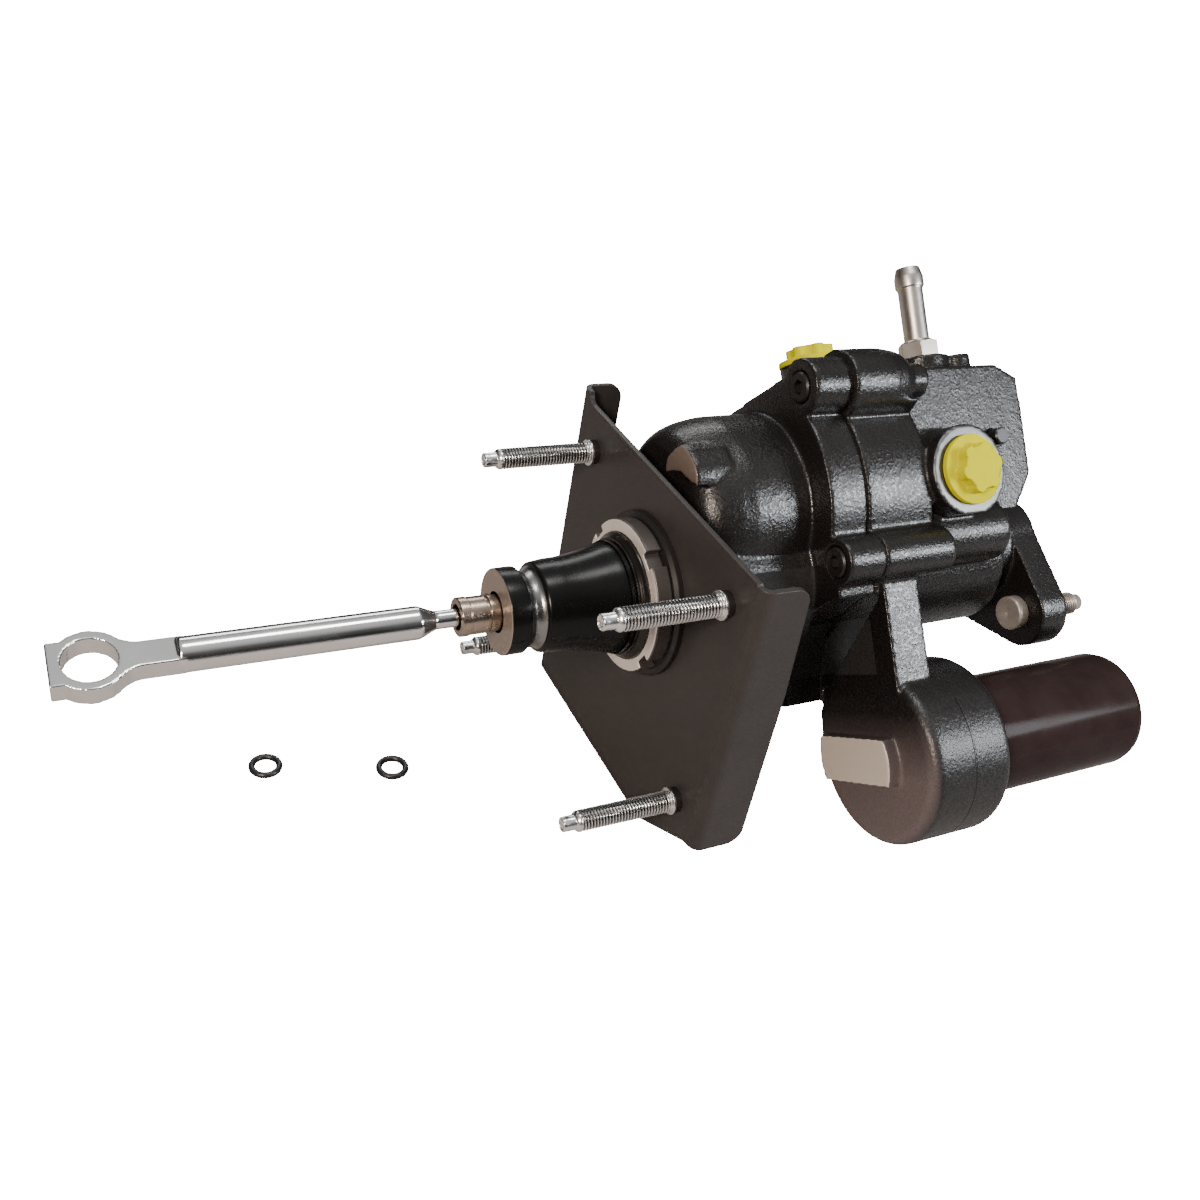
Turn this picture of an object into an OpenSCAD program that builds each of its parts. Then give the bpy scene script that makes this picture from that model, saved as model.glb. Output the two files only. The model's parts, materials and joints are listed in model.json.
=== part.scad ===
// Hydraulic brake booster: a pedal pushrod drives a power piston that is
// helped by fluid from the steering pump. X is the booster axis, with the pedal
// at -X and the master cylinder at +X. Z is up in the car, and x = 0 is the
// face of the bracket that lies on the firewall.

/* [Bracket] */
// Thickness of the bracket sheet
plate_t = 3; // [2:0.5:5]
// Y of the outside of the near flange
plate_near_y = -84; // [-100:1:-80]
// Y of the outside of the far flange
plate_far_y = 91; // [84:1:100]
// Z of the plate's top edge
plate_top_z = 57; // [52:1:70]
// Z of the bottom edge at the near flange
plate_low_near_z = -87; // [-100:1:-84]
// Y where the bottom edge starts to rise towards the near flange
plate_knee_y = -37; // [-50:1:-20]
// Z of the bottom edge at the far flange
plate_low_far_z = -110; // [-125:1:-100]
// Length of the near flange towards the engine
near_flange_l = 26; // [14:0.5:40]
// Length of the far flange towards the engine
far_flange_l = 21.5; // [14:0.5:40]
// Height that the far flange stands above the plate
far_tab_h = 5; // [0:1:12]
// Outer radius of the bends
bend_r = 6; // [4:0.5:10]

/* [Firewall studs] */
// Thread radius of the firewall studs
stud_r = 5; // [4:0.5:6]
// Distance between the studs along Y
stud_pitch_y = 130; // [120:1:136]
// Distance between the studs along Z
stud_pitch_z = 110; // [100:1:116]
// Y of the middle of the stud pattern
stud_mid_y = 1.8; // [0:0.1:4]
// Z of the middle of the stud pattern
stud_mid_z = -17.6; // [-20:0.1:-15]
// Length of a stud beyond the firewall face
stud_l = 58; // [40:1:80]
// Length of the plain tip of a stud
stud_tip_l = 9; // [5:1:14]
// Radius of the plain tip
stud_tip_r = 3.5; // [2.5:0.1:3.8]
// Height of the knurled shoulder on the firewall face
stud_shoulder_h = 3; // [2:0.5:5]

/* [Booster body] */
// Angle that the booster is turned about its axis in the bracket
clock = 38; // [30:1:45]
// X of the joint between cover and housing
joint_x = 88; // [84:1:96]
// Thickness of the cover's flange
cover_flange_t = 20; // [14:1:24]
// Radius of the round bulge over the valve lever
bulge_r = 46; // [44:0.5:48]
// Height of the bulge's axis above the booster axis
bulge_v = 33; // [32:0.5:35]
// Wall of the cover
cover_wall = 6; // [4:0.5:7]
// X of the bulge's front wall
bulge_x = 13; // [11:0.5:16]

/* [Snout] */
// X of the snout's open end
snout_x = -73; // [-80:1:-72]
// Radius of the lip at the snout's end
lip_r = 19.4; // [17:0.1:21]
// Width of the lip
lip_w = 9.4; // [6:0.1:11]
// Radius of the bottom of the boot groove
groove_r = 17; // [15:0.1:17.5]
// Width of the boot groove
groove_w = 7.6; // [5:0.1:9]
// Radius of the snout behind the groove
cone_r = 20.4; // [19:0.1:22]
// Radius of the mounting thread on the snout
thread_r = 29.5; // [28:0.1:30]

/* [Spanner nut] */
// Outer radius of the spanner nut
nut_r = 35.4; // [33:0.1:38]
// Thickness of the spanner nut
nut_t = 8; // [6:0.5:10]
// Number of slots in the nut
nut_slots = 4; // [4:1:8]
// Width of a slot
nut_slot_w = 8; // [4:0.5:9]
// Depth of a slot
nut_slot_d = 3.6; // [2:0.2:4]
// Thickness of the washer under the nut
washer_t = 4; // [2:0.5:5]
// Outer radius of the washer
washer_r = 38.5; // [36:0.5:42]

/* [Cover bolts] */
// Thread radius of the cover bolts
bolt_r = 4; // [3:0.5:4.5]
// Radius of a bolt head
bolt_head_r = 6.9; // [6:0.1:7.5]
// Depth of the recess for a bolt head
bolt_sink = 4; // [3:0.5:6]
// Length of thread in the housing
bolt_grip = 20; // [14:1:24]

/* [Piston and stroke] */
// Full stroke of the pedal pushrod
stroke = 34; // [24:1:34]
// Radius of the power piston's bore
piston_r = 20; // [18:0.5:21]
// Outer radius of the housing barrel
barrel_r = 36; // [32:0.5:38]
// X of the power piston's rear face
piston_x = 92; // [91:0.5:94]
// Length of the power piston
piston_l = 58; // [50:1:60]
// Radius of the input rod
rod_r = 6; // [5:0.1:6.5]
// Radius of the output rod
out_rod_r = 5; // [4:0.1:6]
// X of the output rod's tip
out_tip_x = 212; // [208:1:216]

/* [Pushrod] */
// X of the middle of the pushrod's eye
eye_x = -236.7; // [-260:0.1:-200]
// Radius of the hole in the eye
eye_hole_r = 10; // [6:0.1:11]
// Outer radius of the eye
eye_r = 14; // [13:0.1:18]
// Thickness of the eye and blade
eye_t = 9.5; // [7:0.5:12]
// Angle that the eye is turned about the pushrod
eye_roll = 15; // [-30:1:30]
// Radius of the shank
shank_r = 7.3; // [6:0.1:8]
// Radius of the neck that enters the socket
neck_r = 4.1; // [3.4:0.1:4.3]
// Radius of the ball on the pushrod
ball_r = 5.6; // [5:0.1:5.8]

/* [Input socket] */
// Radius of the socket where it slides in the snout
socket_r = 8; // [7.7:0.1:8.2]
// Radius of the collar on the socket's open end
collar_r = 8.7; // [8.4:0.1:9]
// Length of the socket outside the snout
socket_out = 18; // [16:1:20]

/* [Valve] */
// Height of the spool's axis above the booster axis
spool_v = 46; // [45:0.5:48]
// Radius of the spool sleeve's bore
sleeve_r = 10; // [9:0.1:10.4]
// Radius of the spool
spool_r = 6; // [5:0.1:6.5]
// Travel of the spool over the full stroke
spool_travel = 1.5; // [1:0.1:2]
// Radius of the pin in the lever's head
lever_pin_r = 4; // [3:0.1:4.5]
// Radius of the cross pin in the input rod
cross_pin_r = 3; // [2.5:0.1:3.3]

/* [Valve block] */
// X of the end face of the valve block
block_x = 203; // [201:0.5:206]
// Distance of the near face from the booster's middle plane
block_near = 45; // [43:0.5:48]
// Distance of the far face from the booster's middle plane
block_far = 34; // [32:0.5:38]
// Height of the block's top face
block_top = 89; // [86:0.5:92]
// X of both port drillings' station on the near side
port_x = 144; // [141:0.5:147]
// Height of the near port's axis
port_v = 36; // [34:0.5:38]
// Radius of a port boss
port_boss_r = 21.6; // [20:0.1:22.5]
// Length that the near port's boss stands out
port_boss_l = 21; // [16:0.5:24]
// Radius of a port's thread
port_r = 8.9; // [8:0.1:10]

/* [Port plugs] */
// Radius of a plug's flange
plug_flange_r = 16.4; // [13:0.1:18]
// Thickness of a plug's flange
plug_flange_t = 3; // [2:0.2:4]
// Height of a plug's grip
plug_grip_h = 6; // [4:0.5:9]
// Radius of a plug's grip over its lobes
plug_grip_r = 12; // [9:0.1:12.6]

/* [Return fitting] */
// X of the hose fitting
barb_x = 159.5; // [156:0.5:163]
// Distance of the hose fitting from the middle plane, towards the near side
barb_n = 25; // [22:0.5:28]
// Radius of the hose stem
barb_r = 6.2; // [5:0.1:7]
// Height of the fitting's tip above the booster axis
barb_top = 143; // [125:1:160]

/* [Master cylinder flange] */
// Thickness of the flange
mc_t = 17; // [12:0.5:18]
// Distance between the two studs
mc_pitch = 85.7; // [84:0.1:88]
// Angle of the stud line below the block's upright
mc_angle = 57.4; // [54:0.1:60]
// Radius of the flange's ears
mc_ear_r = 18; // [15:0.1:18]
// Thread radius of the studs
mc_stud_r = 6; // [5:0.5:6]
// Length of the studs beyond the flange
mc_stud_l = 26; // [15:1:40]
// Radius of the pilot bore for the master cylinder
pilot_r = 22; // [20:0.1:22.5]
// Depth of the register that takes the pilot
pilot_l = 7; // [5:0.5:10]

/* [Accumulator] */
// Distance of the accumulator's axis from the middle plane, towards the near side
acc_n = 36; // [34:0.5:38]
// Height of the accumulator's axis, below the booster axis
acc_v = -91.3; // [-95:0.5:-90]
// Radius of the accumulator's socket in the housing
acc_r = 42; // [39:0.5:43]
// Length of that socket
acc_l = 45.6; // [42:0.2:50]
// Radius of the accumulator can
can_r = 29; // [26:0.5:31]
// X of the closed end of the can
can_end_x = 238.8; // [220:0.2:260]
// Wall of the can
can_wall = 2.6; // [2:0.2:3.5]
// Height of the machined pad on the socket's face
pad_h = 7; // [3:0.5:9]

/* [Hidden] */

$fn = 64;

// Radial clearance of parts that slide or turn in a bore
run = 0.06;
// Gap between parts that meet end to end
seat = 0.3;
// Overshoot of a cut past the face it opens
past = 1;
// Depth that a straight flank or a fillet lies inside the round it runs into
bite = 0.06;

cast_black = [0.09, 0.085, 0.085];
satin_black = [0.2, 0.18, 0.18];
zinc = [0.78, 0.78, 0.76];
steel = [0.62, 0.61, 0.6];
bronze = [0.62, 0.5, 0.4];
chrome_grey = [0.8, 0.8, 0.8];
seal_black = [0.05, 0.05, 0.05];
plug_yellow = [0.93, 0.88, 0.05];
can_brown = [0.2, 0.13, 0.12];

// Lays the booster's own upright frame into the bracket
module clocked() { rotate([-clock, 0, 0]) children(); }

// A place in the booster's frame: n towards the near side, v upright
module at(n, v, x = 0) { translate([x, -n, v]) children(); }

// A round bar along X
module bar(x0, x1, r) { translate([x0, 0, 0]) rotate([0, 90, 0]) cylinder(r = r, h = x1 - x0); }

// A hexagon bar along X, r over its corners
module hex_bar(x0, x1, r) { translate([x0, 0, 0]) rotate([0, 90, 0]) cylinder(r = r, h = x1 - x0, $fn = 6); }

// A body turned about X from a list of [x, radius]
module turned(points) { rotate([0, 90, 0]) rotate_extrude() polygon([for (p = points) [p[1], p[0]]]); }

// A ring of round section about X
module o_ring(x, r_mid, r_wire) {
    translate([x, 0, 0]) rotate([0, 90, 0]) rotate_extrude() translate([r_mid, 0]) circle(r = r_wire, $fn = 24);
}

// Extrudes an outline, drawn as [-n, v], along X
module slab(x0, x1) { translate([x0, 0, 0]) rotate([90, 0, 90]) linear_extrude(x1 - x0) children(); }

// One round lobe of an outline
module lobe(n, v, r) { translate([-n, v]) circle(r = r); }

// Two lobes and the straight flanks that touch both
module link(n1, v1, r1, n2, v2, r2) {
    d = norm([n2 - n1, v2 - v1]);
    a = atan2(v2 - v1, n1 - n2);
    b = acos((r1 - r2) / d);
    lobe(n1, v1, r1);
    lobe(n2, v2, r2);
    polygon([for (k = [[-n1, v1, r1, a + b], [-n2, v2, r2, a + b], [-n2, v2, r2, a - b], [-n1, v1, r1, a - b]])
        [k[0] + (k[2] - bite) * cos(k[3]), k[1] + (k[2] - bite) * sin(k[3])]]);
}

// Fills the hollow between two lobes with a concave fillet, on the side given by 1 or -1
module blend(n1, v1, r1, n2, v2, r2, rf, side) {
    d = norm([n2 - n1, v2 - v1]);
    a = atan2(v2 - v1, n1 - n2);
    c = acos((d * d + pow(r1 + rf, 2) - pow(r2 + rf, 2)) / (2 * d * (r1 + rf)));
    fx = -n1 + (r1 + rf) * cos(a + side * c);
    fy = v1 + (r1 + rf) * sin(a + side * c);
    difference() {
        polygon([[-n1, v1], [fx, fy], [-n2, v2]]);
        translate([fx, fy]) circle(r = rf + bite);
    }
}

// A rectangle with round corners, from its low corner
module round_rect(w, h, r) {
    translate([r, 0]) square([w - 2 * r, h]);
    translate([0, r]) square([w, h - 2 * r]);
    for (x = [r, w - r], y = [r, h - r]) translate([x, y]) circle(r = r, $fn = 32);
}

// A coil spring along X with a round wire
module coil(x0, x1, r_mid, r_wire, turns, per_turn = 16, sides = 8) {
    steps = turns * per_turn;
    run_x = x1 - x0 - 2 * r_wire;
    points = [for (i = [0:steps], j = [0:sides - 1])
        let (t = i / steps, a = 360 * turns * t, w = 360 * j / sides, r = r_mid + r_wire * cos(w))
        [x0 + r_wire + run_x * t + r_wire * sin(w), r * cos(a), r * sin(a)]];
    walls = [for (i = [0:steps - 1], j = [0:sides - 1])
        let (k = (j + 1) % sides)
        [i * sides + j, i * sides + k, (i + 1) * sides + k, (i + 1) * sides + j]];
    polyhedron(points = points,
        faces = concat([[for (j = [sides - 1:-1:0]) j]], walls, [[for (j = [0:sides - 1]) steps * sides + j]]));
}

// Bolt places round the joint, as [n, v]
bolts = [[48, 82], [57, 1.5], [-10, -50], [-57, 2], [-44, 58]];
// Radius of the boss round each bolt
bolt_boss_r = [13, 11, 12, 11, 12];
cover_flange_x = joint_x - cover_flange_t;
// Radius of the joint face on the near side, about the bulge's axis
joint_near_r = 60;
// Radius of the joint face on the far side
joint_far_r = 50.5;
// Lower round of the joint face
low_n = -4;
low_v = -4;
low_r = 61;
// Hollow in the joint face that clears the accumulator
bay_n = 58;
bay_v = -70;
bay_r = 55;

// Ends of the nut and its washer
nut_x = -washer_t - nut_t;
// Seat of the bracket on the cover
seat_r = 40;
plate_hole_r = thread_r + 0.4;

// Snout bores
mouth_r = collar_r + 0.6;
socket_end_x = -32;
socket_bore_x = snout_x - socket_out + 15 + stroke + seat;
seal_x = 4;
seal_pocket_r = rod_r + 6;
seal_pocket_x1 = bulge_x + 1;

// Lever linkage
pivot_x = 66;
pin_x = pivot_x - stroke / 2;
lever_rest = atan((pivot_x - pin_x) / spool_v);
arm_y0 = 9;
arm_t = 4;
slot_half = cross_pin_r + 0.5;
slot_top = spool_v - slot_half - 1;
arm_end = (spool_v / cos(lever_rest)) + slot_half + 2.5;

// Spool bore
sleeve_x1 = 150;
spool_collar_x = sleeve_x1 + 2;
plug_bore_x = block_x - 15;
plug_bore_r = sleeve_r + 1;
spool_end_x = plug_bore_x - spool_travel - 0.5;

// Housing
bore_x1 = block_x + 3;
mc_x0 = block_x;
mc_x1 = mc_x0 + mc_t;
mc_n = mc_pitch / 2 * cos(mc_angle);
mc_v = -mc_pitch / 2 * sin(mc_angle);
mc_head_r = 8.7;
// Radius of the knurled part of a stud, pressed in the flange
mc_press_r = mc_stud_r + 0.5;
mc_head_t = 6.3;
waist_r = 27;
retainer_x = block_x - 5;
retainer_t = 2.5;
column_x1 = 131;
shoulder_x1 = 125;
// Check valve bore beside the barrel
check_n = 40;
check_v = 8;
check_boss_r = 15;
check_x1 = block_x - 25;
check_seat_x = check_x1 - 38;
check_x0 = check_seat_x - 20;
check_bore_r = 6;
check_ball_r = 4;
check_pass_r = 3;
check_ball_x = check_seat_x + sqrt(pow(check_ball_r, 2) - pow(check_pass_r, 2)) + seat;
// Top port
top_port_x = 118;
top_port_n = -8;
top_port_v = 103.5;
top_boss_r = 16;
// Accumulator socket
acc_x0 = joint_x + 2;
acc_x1 = acc_x0 + acc_l;
can_x0 = acc_x0 + 16;
acc_floor_x = can_x0 - 5;
can_seal_x = can_x0 + 8;
can_ring_x = acc_x1 - 4;
// Radius of the can's shoulder inside the socket
shoulder_r = can_r + 1.2;
gas_piston_x = 150;
gas_piston_l = 20;
// Web to the accumulator socket
web_n = 60;
web_t = 20;
// Gallery plug on the near face
gallery_x = block_x - 21;
gallery_v = 52.5;
// Floor that the two loose seal rings lie on
floor_z = plate_low_far_z - 2;

// Outline of the joint face, grown by g on the top and the near side
module joint_outline(g = 0) {
    difference() {
        union() {
            intersection() {
                lobe(0, bulge_v + 2, joint_near_r + g / 3);
                polygon([[0, -60], [0, 84.6 + 2.4 * g], [-40, 89.7 + g], [-90, 95], [-90, -60]]);
            }
            lobe(0, bulge_v, joint_far_r + g);
            lobe(low_n, low_v, low_r);
        }
        lobe(bay_n, bay_v, bay_r);
    }
    lobe(bolts[0][0], bolts[0][1], bolt_boss_r[0] + g * 0.8);
    blend(bolts[0][0], bolts[0][1], bolt_boss_r[0] + g * 0.8, 0, bulge_v + 2, joint_near_r + g / 3, 9, 1);
    for (i = [1:4]) lobe(bolts[i][0], bolts[i][1], bolt_boss_r[i]);
    blend(bolts[1][0], bolts[1][1], bolt_boss_r[1], 0, bulge_v + 2, joint_near_r + g / 3, 14, -1);
}

// Outline of the cover's hollow, or of its seal when grown
module hollow_outline(g) {
    link(0, bulge_v, bulge_r - cover_wall - 1 + g, 0, 0, 33 + g);
}

function flare(x, x0, x1, r0, r1) = r0 + (r1 - r0) * pow((x - x0) / (x1 - x0), 2);

module mounting_bracket() {
    bend_in = bend_r - plate_t;
    color(satin_black) difference() {
        union() {
            slab(0, plate_t) polygon([
                [plate_near_y + bend_r, plate_top_z], [plate_far_y - bend_r, plate_top_z],
                [plate_far_y - bend_r, plate_low_far_z], [plate_knee_y, plate_low_far_z],
                [plate_near_y + bend_r + 3, plate_low_near_z - 1], [plate_near_y + bend_r, plate_low_near_z]]);
            bracket_flange(plate_near_y, 1, plate_low_near_z, plate_top_z - 1, bend_in, near_flange_l, 2.5);
            bracket_flange(plate_far_y, -1, plate_low_far_z, plate_top_z + far_tab_h, bend_in, far_flange_l, 0);
            // The small tongue of the plate that carries the far flange above the top edge
            slab(0, plate_t) translate([plate_far_y - bend_r - 8, plate_top_z - past]) difference() {
                square([8, far_tab_h + past]);
                translate([0, far_tab_h + past]) circle(r = far_tab_h);
            }
        }
        bar(-past, plate_t + past, plate_hole_r);
        stud_places() bar(-past, plate_t + past, stud_r + run);
    }
}

// One bent flange of the bracket: side is 1 when its sheet lies on the +Y side of y, and its
// edge draws back by taper towards the top
module bracket_flange(y, side, z0, z1, bend_in, l, taper) {
    corner = 8;
    top_l = l - taper;
    translate([bend_r, y + side * bend_r, z0]) linear_extrude(z1 - z0) intersection() {
        difference() {
            circle(r = bend_r);
            circle(r = bend_in);
        }
        translate([-bend_r, side > 0 ? -bend_r : 0]) square(bend_r);
    }
    translate([0, side > 0 ? y + plate_t : y, 0]) rotate([90, 0, 0]) linear_extrude(plate_t)
        difference() {
            union() {
                polygon([[0, z0], [l - corner, z0], [l, z0 + corner], [l, 0], [top_l, z1 - corner],
                    [top_l - corner, z1], [0, z1]]);
                translate([l - corner, z0 + corner]) circle(r = corner);
                translate([top_l - corner, z1 - corner]) circle(r = corner);
            }
            translate([-past, z0 - past]) square([bend_r + past, z1 - z0 + 2 * past]);
        }
}

module stud_places() {
    for (y = [-1, 1], z = [-1, 1])
        translate([0, stud_mid_y + y * stud_pitch_y / 2, stud_mid_z + z * stud_pitch_z / 2]) children();
}

module firewall_studs() {
    collar_r0 = stud_r + 1.4;
    color(zinc) stud_places() turned([
        [-stud_l, 0], [-stud_l, stud_tip_r - 0.6], [-stud_l + 0.6, stud_tip_r],
        [-stud_l + stud_tip_l, stud_tip_r], [-stud_l + stud_tip_l + 1.5, stud_r],
        [-stud_shoulder_h - 1.2, stud_r], [-stud_shoulder_h - 1.2, collar_r0],
        [-stud_shoulder_h, collar_r0], [-stud_shoulder_h, collar_r0 - 0.5], [0, collar_r0 - 0.5],
        [0, stud_r], [plate_t, stud_r], [plate_t, stud_r + 3.5], [plate_t + 2.5, stud_r + 3.5],
        [plate_t + 3, stud_r + 3], [plate_t + 3, 0]]);
}

module spanner_nut() {
    color(zinc) difference() {
        turned([[nut_x, thread_r + 0.1], [nut_x, nut_r - 1.2], [nut_x + 0.8, nut_r],
            [nut_x + nut_t - 0.4, nut_r], [nut_x + nut_t, nut_r - 0.4], [nut_x + nut_t, thread_r + 0.1]]);
        for (i = [0:nut_slots - 1]) rotate([i * 360 / nut_slots + 29, 0, 0])
            translate([nut_x - past, nut_r - nut_slot_d, -nut_slot_w / 2])
                cube([nut_t + 2 * past, nut_slot_d + 2, nut_slot_w]);
    }
}

module nut_washer() {
    color(satin_black) turned([[-washer_t, thread_r + 0.2], [-washer_t, washer_r - 1.5],
        [-washer_t + 1.5, washer_r], [0, washer_r], [0, thread_r + 0.2]]);
}

module cover() {
    cone_x0 = snout_x + lip_w + groove_w;
    flare_x0 = -48;
    flare_x1 = nut_x - 2;
    groove_mid = snout_x + lip_w + groove_w / 2;
    wall_r = bulge_r - cover_wall - 1;
    color(cast_black) clocked() difference() {
        union() {
            // Snout with its lip, boot groove, flare and thread
            turned(concat(
                [[snout_x, 0], [snout_x, lip_r - 0.8], [snout_x + 0.8, lip_r],
                    [snout_x + lip_w - 0.6, lip_r], [snout_x + lip_w, lip_r - 0.6]],
                [for (a = [-60:20:60]) [groove_mid + groove_w / 2 * sin(a) / sin(60),
                    groove_r + (lip_r - groove_r - 0.6) * (1 - cos(a)) / (1 - cos(60))]],
                [[cone_x0, cone_r - 1], [cone_x0 + 1.2, cone_r], [flare_x0, cone_r + 0.7]],
                [for (i = [1:7]) let (x = flare_x0 + (flare_x1 - flare_x0) * i / 7)
                    [x, flare(x, flare_x0, flare_x1, cone_r + 0.7, thread_r - 1.6)]],
                [[flare_x1 + 1, thread_r], [plate_t, thread_r], [plate_t, seat_r],
                    [bulge_x + 2, seat_r], [bulge_x + 2, 0]]));
            // Barrel round the input rod
            bar(bulge_x, cover_flange_x + past, seat_r);
            // Round bulge over the lever
            at(0, bulge_v) turned([
                [bulge_x, 0], [bulge_x, 31], [bulge_x + 0.8, 34.6], [bulge_x + 2.6, 37.6],
                [bulge_x + 5.2, 40.2], [bulge_x + 8.6, 42.2], [bulge_x + 13, 43.8], [bulge_x + 18.5, 45],
                [bulge_x + 26, bulge_r], [cover_flange_x + past, bulge_r], [cover_flange_x + past, 0]]);
            // Machined lug on the shoulder of the bulge
            intersection() {
                at(0, bulge_v) bar(bulge_x - 1, bulge_x + 18, bulge_r - 0.4);
                slab(bulge_x - 1, bulge_x + 18) translate([0, bulge_v]) polygon([
                    [-15, 20.5], [-18.3, 26], [-25, 28.8], [-32, 29.8], [-38.2, 25.5], [-41, 22.3],
                    [-42, 16.5], [-42.1, 13], [-41, 9.3], [-35.5, 12.5], [-28, 18.5], [-21.5, 20.2]]);
            }
            slab(cover_flange_x, joint_x) joint_outline();
        }
        // Hollow for the lever
        intersection() {
            slab(bulge_x + cover_wall + 1, joint_x + past) hollow_outline(0);
            union() {
                at(0, bulge_v) bar(bulge_x + cover_wall + 1, joint_x + past, wall_r);
                bar(bulge_x + cover_wall + 1, joint_x + past, 33);
            }
        }
        bar(seal_pocket_x1 - past, bulge_x + cover_wall + 2, seal_pocket_r + run);
        // Bores for the socket, the input rod and its seal
        bar(snout_x - past, socket_bore_x, mouth_r);
        bar(socket_bore_x - past, seal_x + past, socket_r + run);
        bar(seal_x, seal_pocket_x1 + past, seal_pocket_r + run);
        // Groove for the joint seal
        slab(joint_x - 1.8, joint_x + past) difference() {
            hollow_outline(4.6);
            hollow_outline(1.9);
        }
        for (b = bolts) at(b[0], b[1]) {
            bar(cover_flange_x - 30, cover_flange_x + bolt_sink, bolt_head_r + 0.3);
            bar(cover_flange_x, joint_x + past, bolt_r + 0.25);
        }
    }
}

module cover_seal() {
    color(seal_black) clocked() slab(joint_x - 1.8 + seat, joint_x) difference() {
        hollow_outline(4.4);
        hollow_outline(2.1);
    }
}

module cover_bolts() {
    head_x = cover_flange_x - 0.8;
    color(satin_black) clocked() for (b = bolts) at(b[0], b[1]) difference() {
        turned([[head_x, 0], [head_x, bolt_head_r - 0.8], [head_x + 0.8, bolt_head_r],
            [cover_flange_x + bolt_sink, bolt_head_r], [cover_flange_x + bolt_sink, bolt_r],
            [joint_x + bolt_grip - 1, bolt_r], [joint_x + bolt_grip, bolt_r - 1], [joint_x + bolt_grip, 0]]);
        hex_bar(head_x - past, head_x + 3, 3.6);
    }
}

module input_seal() {
    color(seal_black) clocked() turned([[seal_x + seat, rod_r + run], [seal_x + seat, seal_pocket_r],
        [seal_pocket_x1 - 2.3, seal_pocket_r], [seal_pocket_x1 - 2.3, seal_pocket_r - 1.6],
        [seal_x + 3, seal_pocket_r - 1.6], [seal_x + 3, rod_r + 1.6], [seal_pocket_x1 - 2.3, rod_r + 1.6],
        [seal_pocket_x1 - 2.3, rod_r + run]]);
}

module input_seal_ring() {
    color(steel) clocked() turned([[seal_pocket_x1 - 2, rod_r + 1], [seal_pocket_x1 - 2, seal_pocket_r],
        [seal_pocket_x1 - 0.3, seal_pocket_r], [seal_pocket_x1 - 0.3, rod_r + 1]]);
}

module housing() {
    color(cast_black) clocked() difference() {
        union() {
            slab(joint_x, joint_x + 20) joint_outline(4);
            // The near shoulder runs on to the valve block's face
            slab(joint_x, shoulder_x1) intersection() {
                joint_outline(4);
                translate([-80, -6]) square([56, 78]);
            }
            housing_columns();
            bar(joint_x, block_x - 15, barrel_r);
            bar(block_x - 23, mc_x0 + past, waist_r);
            valve_block();
            port_bosses();
            mc_flange();
            accumulator_socket();
        }
        housing_bores();
    }
}

// Bolt columns and the check valve's boss behind the joint flange
module housing_columns() {
    at(bolts[0][0], bolts[0][1]) turned([[joint_x, 0], [joint_x, 16], [column_x1 - 20, 16],
        [column_x1 - 12, 14.6], [column_x1 - 7, 12], [column_x1 - 4.5, 8.4], [column_x1 + 5, 8.4], [column_x1 + 5, 0]]);
    at(bolts[1][0], bolts[1][1]) turned([[joint_x, 0], [joint_x, 11.5], [column_x1 - 4, 11.5],
        [column_x1, 8], [column_x1, 0]]);
    for (i = [2:4]) at(bolts[i][0], bolts[i][1]) bar(joint_x, joint_x + bolt_grip + 8, bolt_boss_r[i]);
    at(check_n, check_v) turned([[joint_x, 0], [joint_x, check_boss_r], [check_x1 - 3, check_boss_r],
        [check_x1, check_boss_r - 3], [check_x1, 0]]);
}

// Block that carries the spool, with its sloped corners
module valve_block() {
    notch_x = 141;
    difference() {
        translate([0, block_far, 0]) rotate([90, 0, 0]) linear_extrude(block_far + block_near)
            polygon([[joint_x + 10, 10], [joint_x + 10, block_top], [block_x - 14, block_top],
                [block_x - 1, block_top - 7], [block_x, block_top - 20], [block_x, 33], [block_x - 13, 15],
                [block_x - 40, 10]]);
        // Step in the near top corner beside the bolt column
        translate([0, -26, 0]) rotate([90, 0, 0]) linear_extrude(block_near) polygon([
            [joint_x, block_top + past], [joint_x, 60], [notch_x - 15, 60], [notch_x - 13, 72.5],
            [notch_x - 2, 76], [notch_x, block_top - 2], [notch_x + 1, block_top + past]]);
    }
}

module port_bosses() {
    // Near port, with its boss cut flat below
    intersection() {
        at(0, port_v, port_x) rotate([90, 0, 0]) cylinder(r = port_boss_r, h = block_near + port_boss_l);
        translate([port_x - 30, -block_near - port_boss_l - past, port_v - port_boss_r + 1.5])
            cube([60, block_near + port_boss_l + 2, 2 * port_boss_r]);
    }
    at(top_port_n, 60, top_port_x) cylinder(r = top_boss_r, h = top_port_v - 60);
    at(barb_n, 60, barb_x) cylinder(r = 14, h = block_top + 8 - 60);
    at(barb_n + 5, 60, barb_x + 18.5) cylinder(r = 7, h = block_top + 8 - 60);
}

// Flange for the master cylinder, with an ear round each stud
module mc_flange() {
    slab(mc_x0, mc_x1) {
        for (s = [-1, 1]) link(s * mc_n, s * mc_v, mc_ear_r, s * 4, s * -4, waist_r - 3);
        lobe(0, 0, waist_r);
        link(mc_n, mc_v, mc_ear_r, -3, -8, barrel_r - 4);
    }
}

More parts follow.
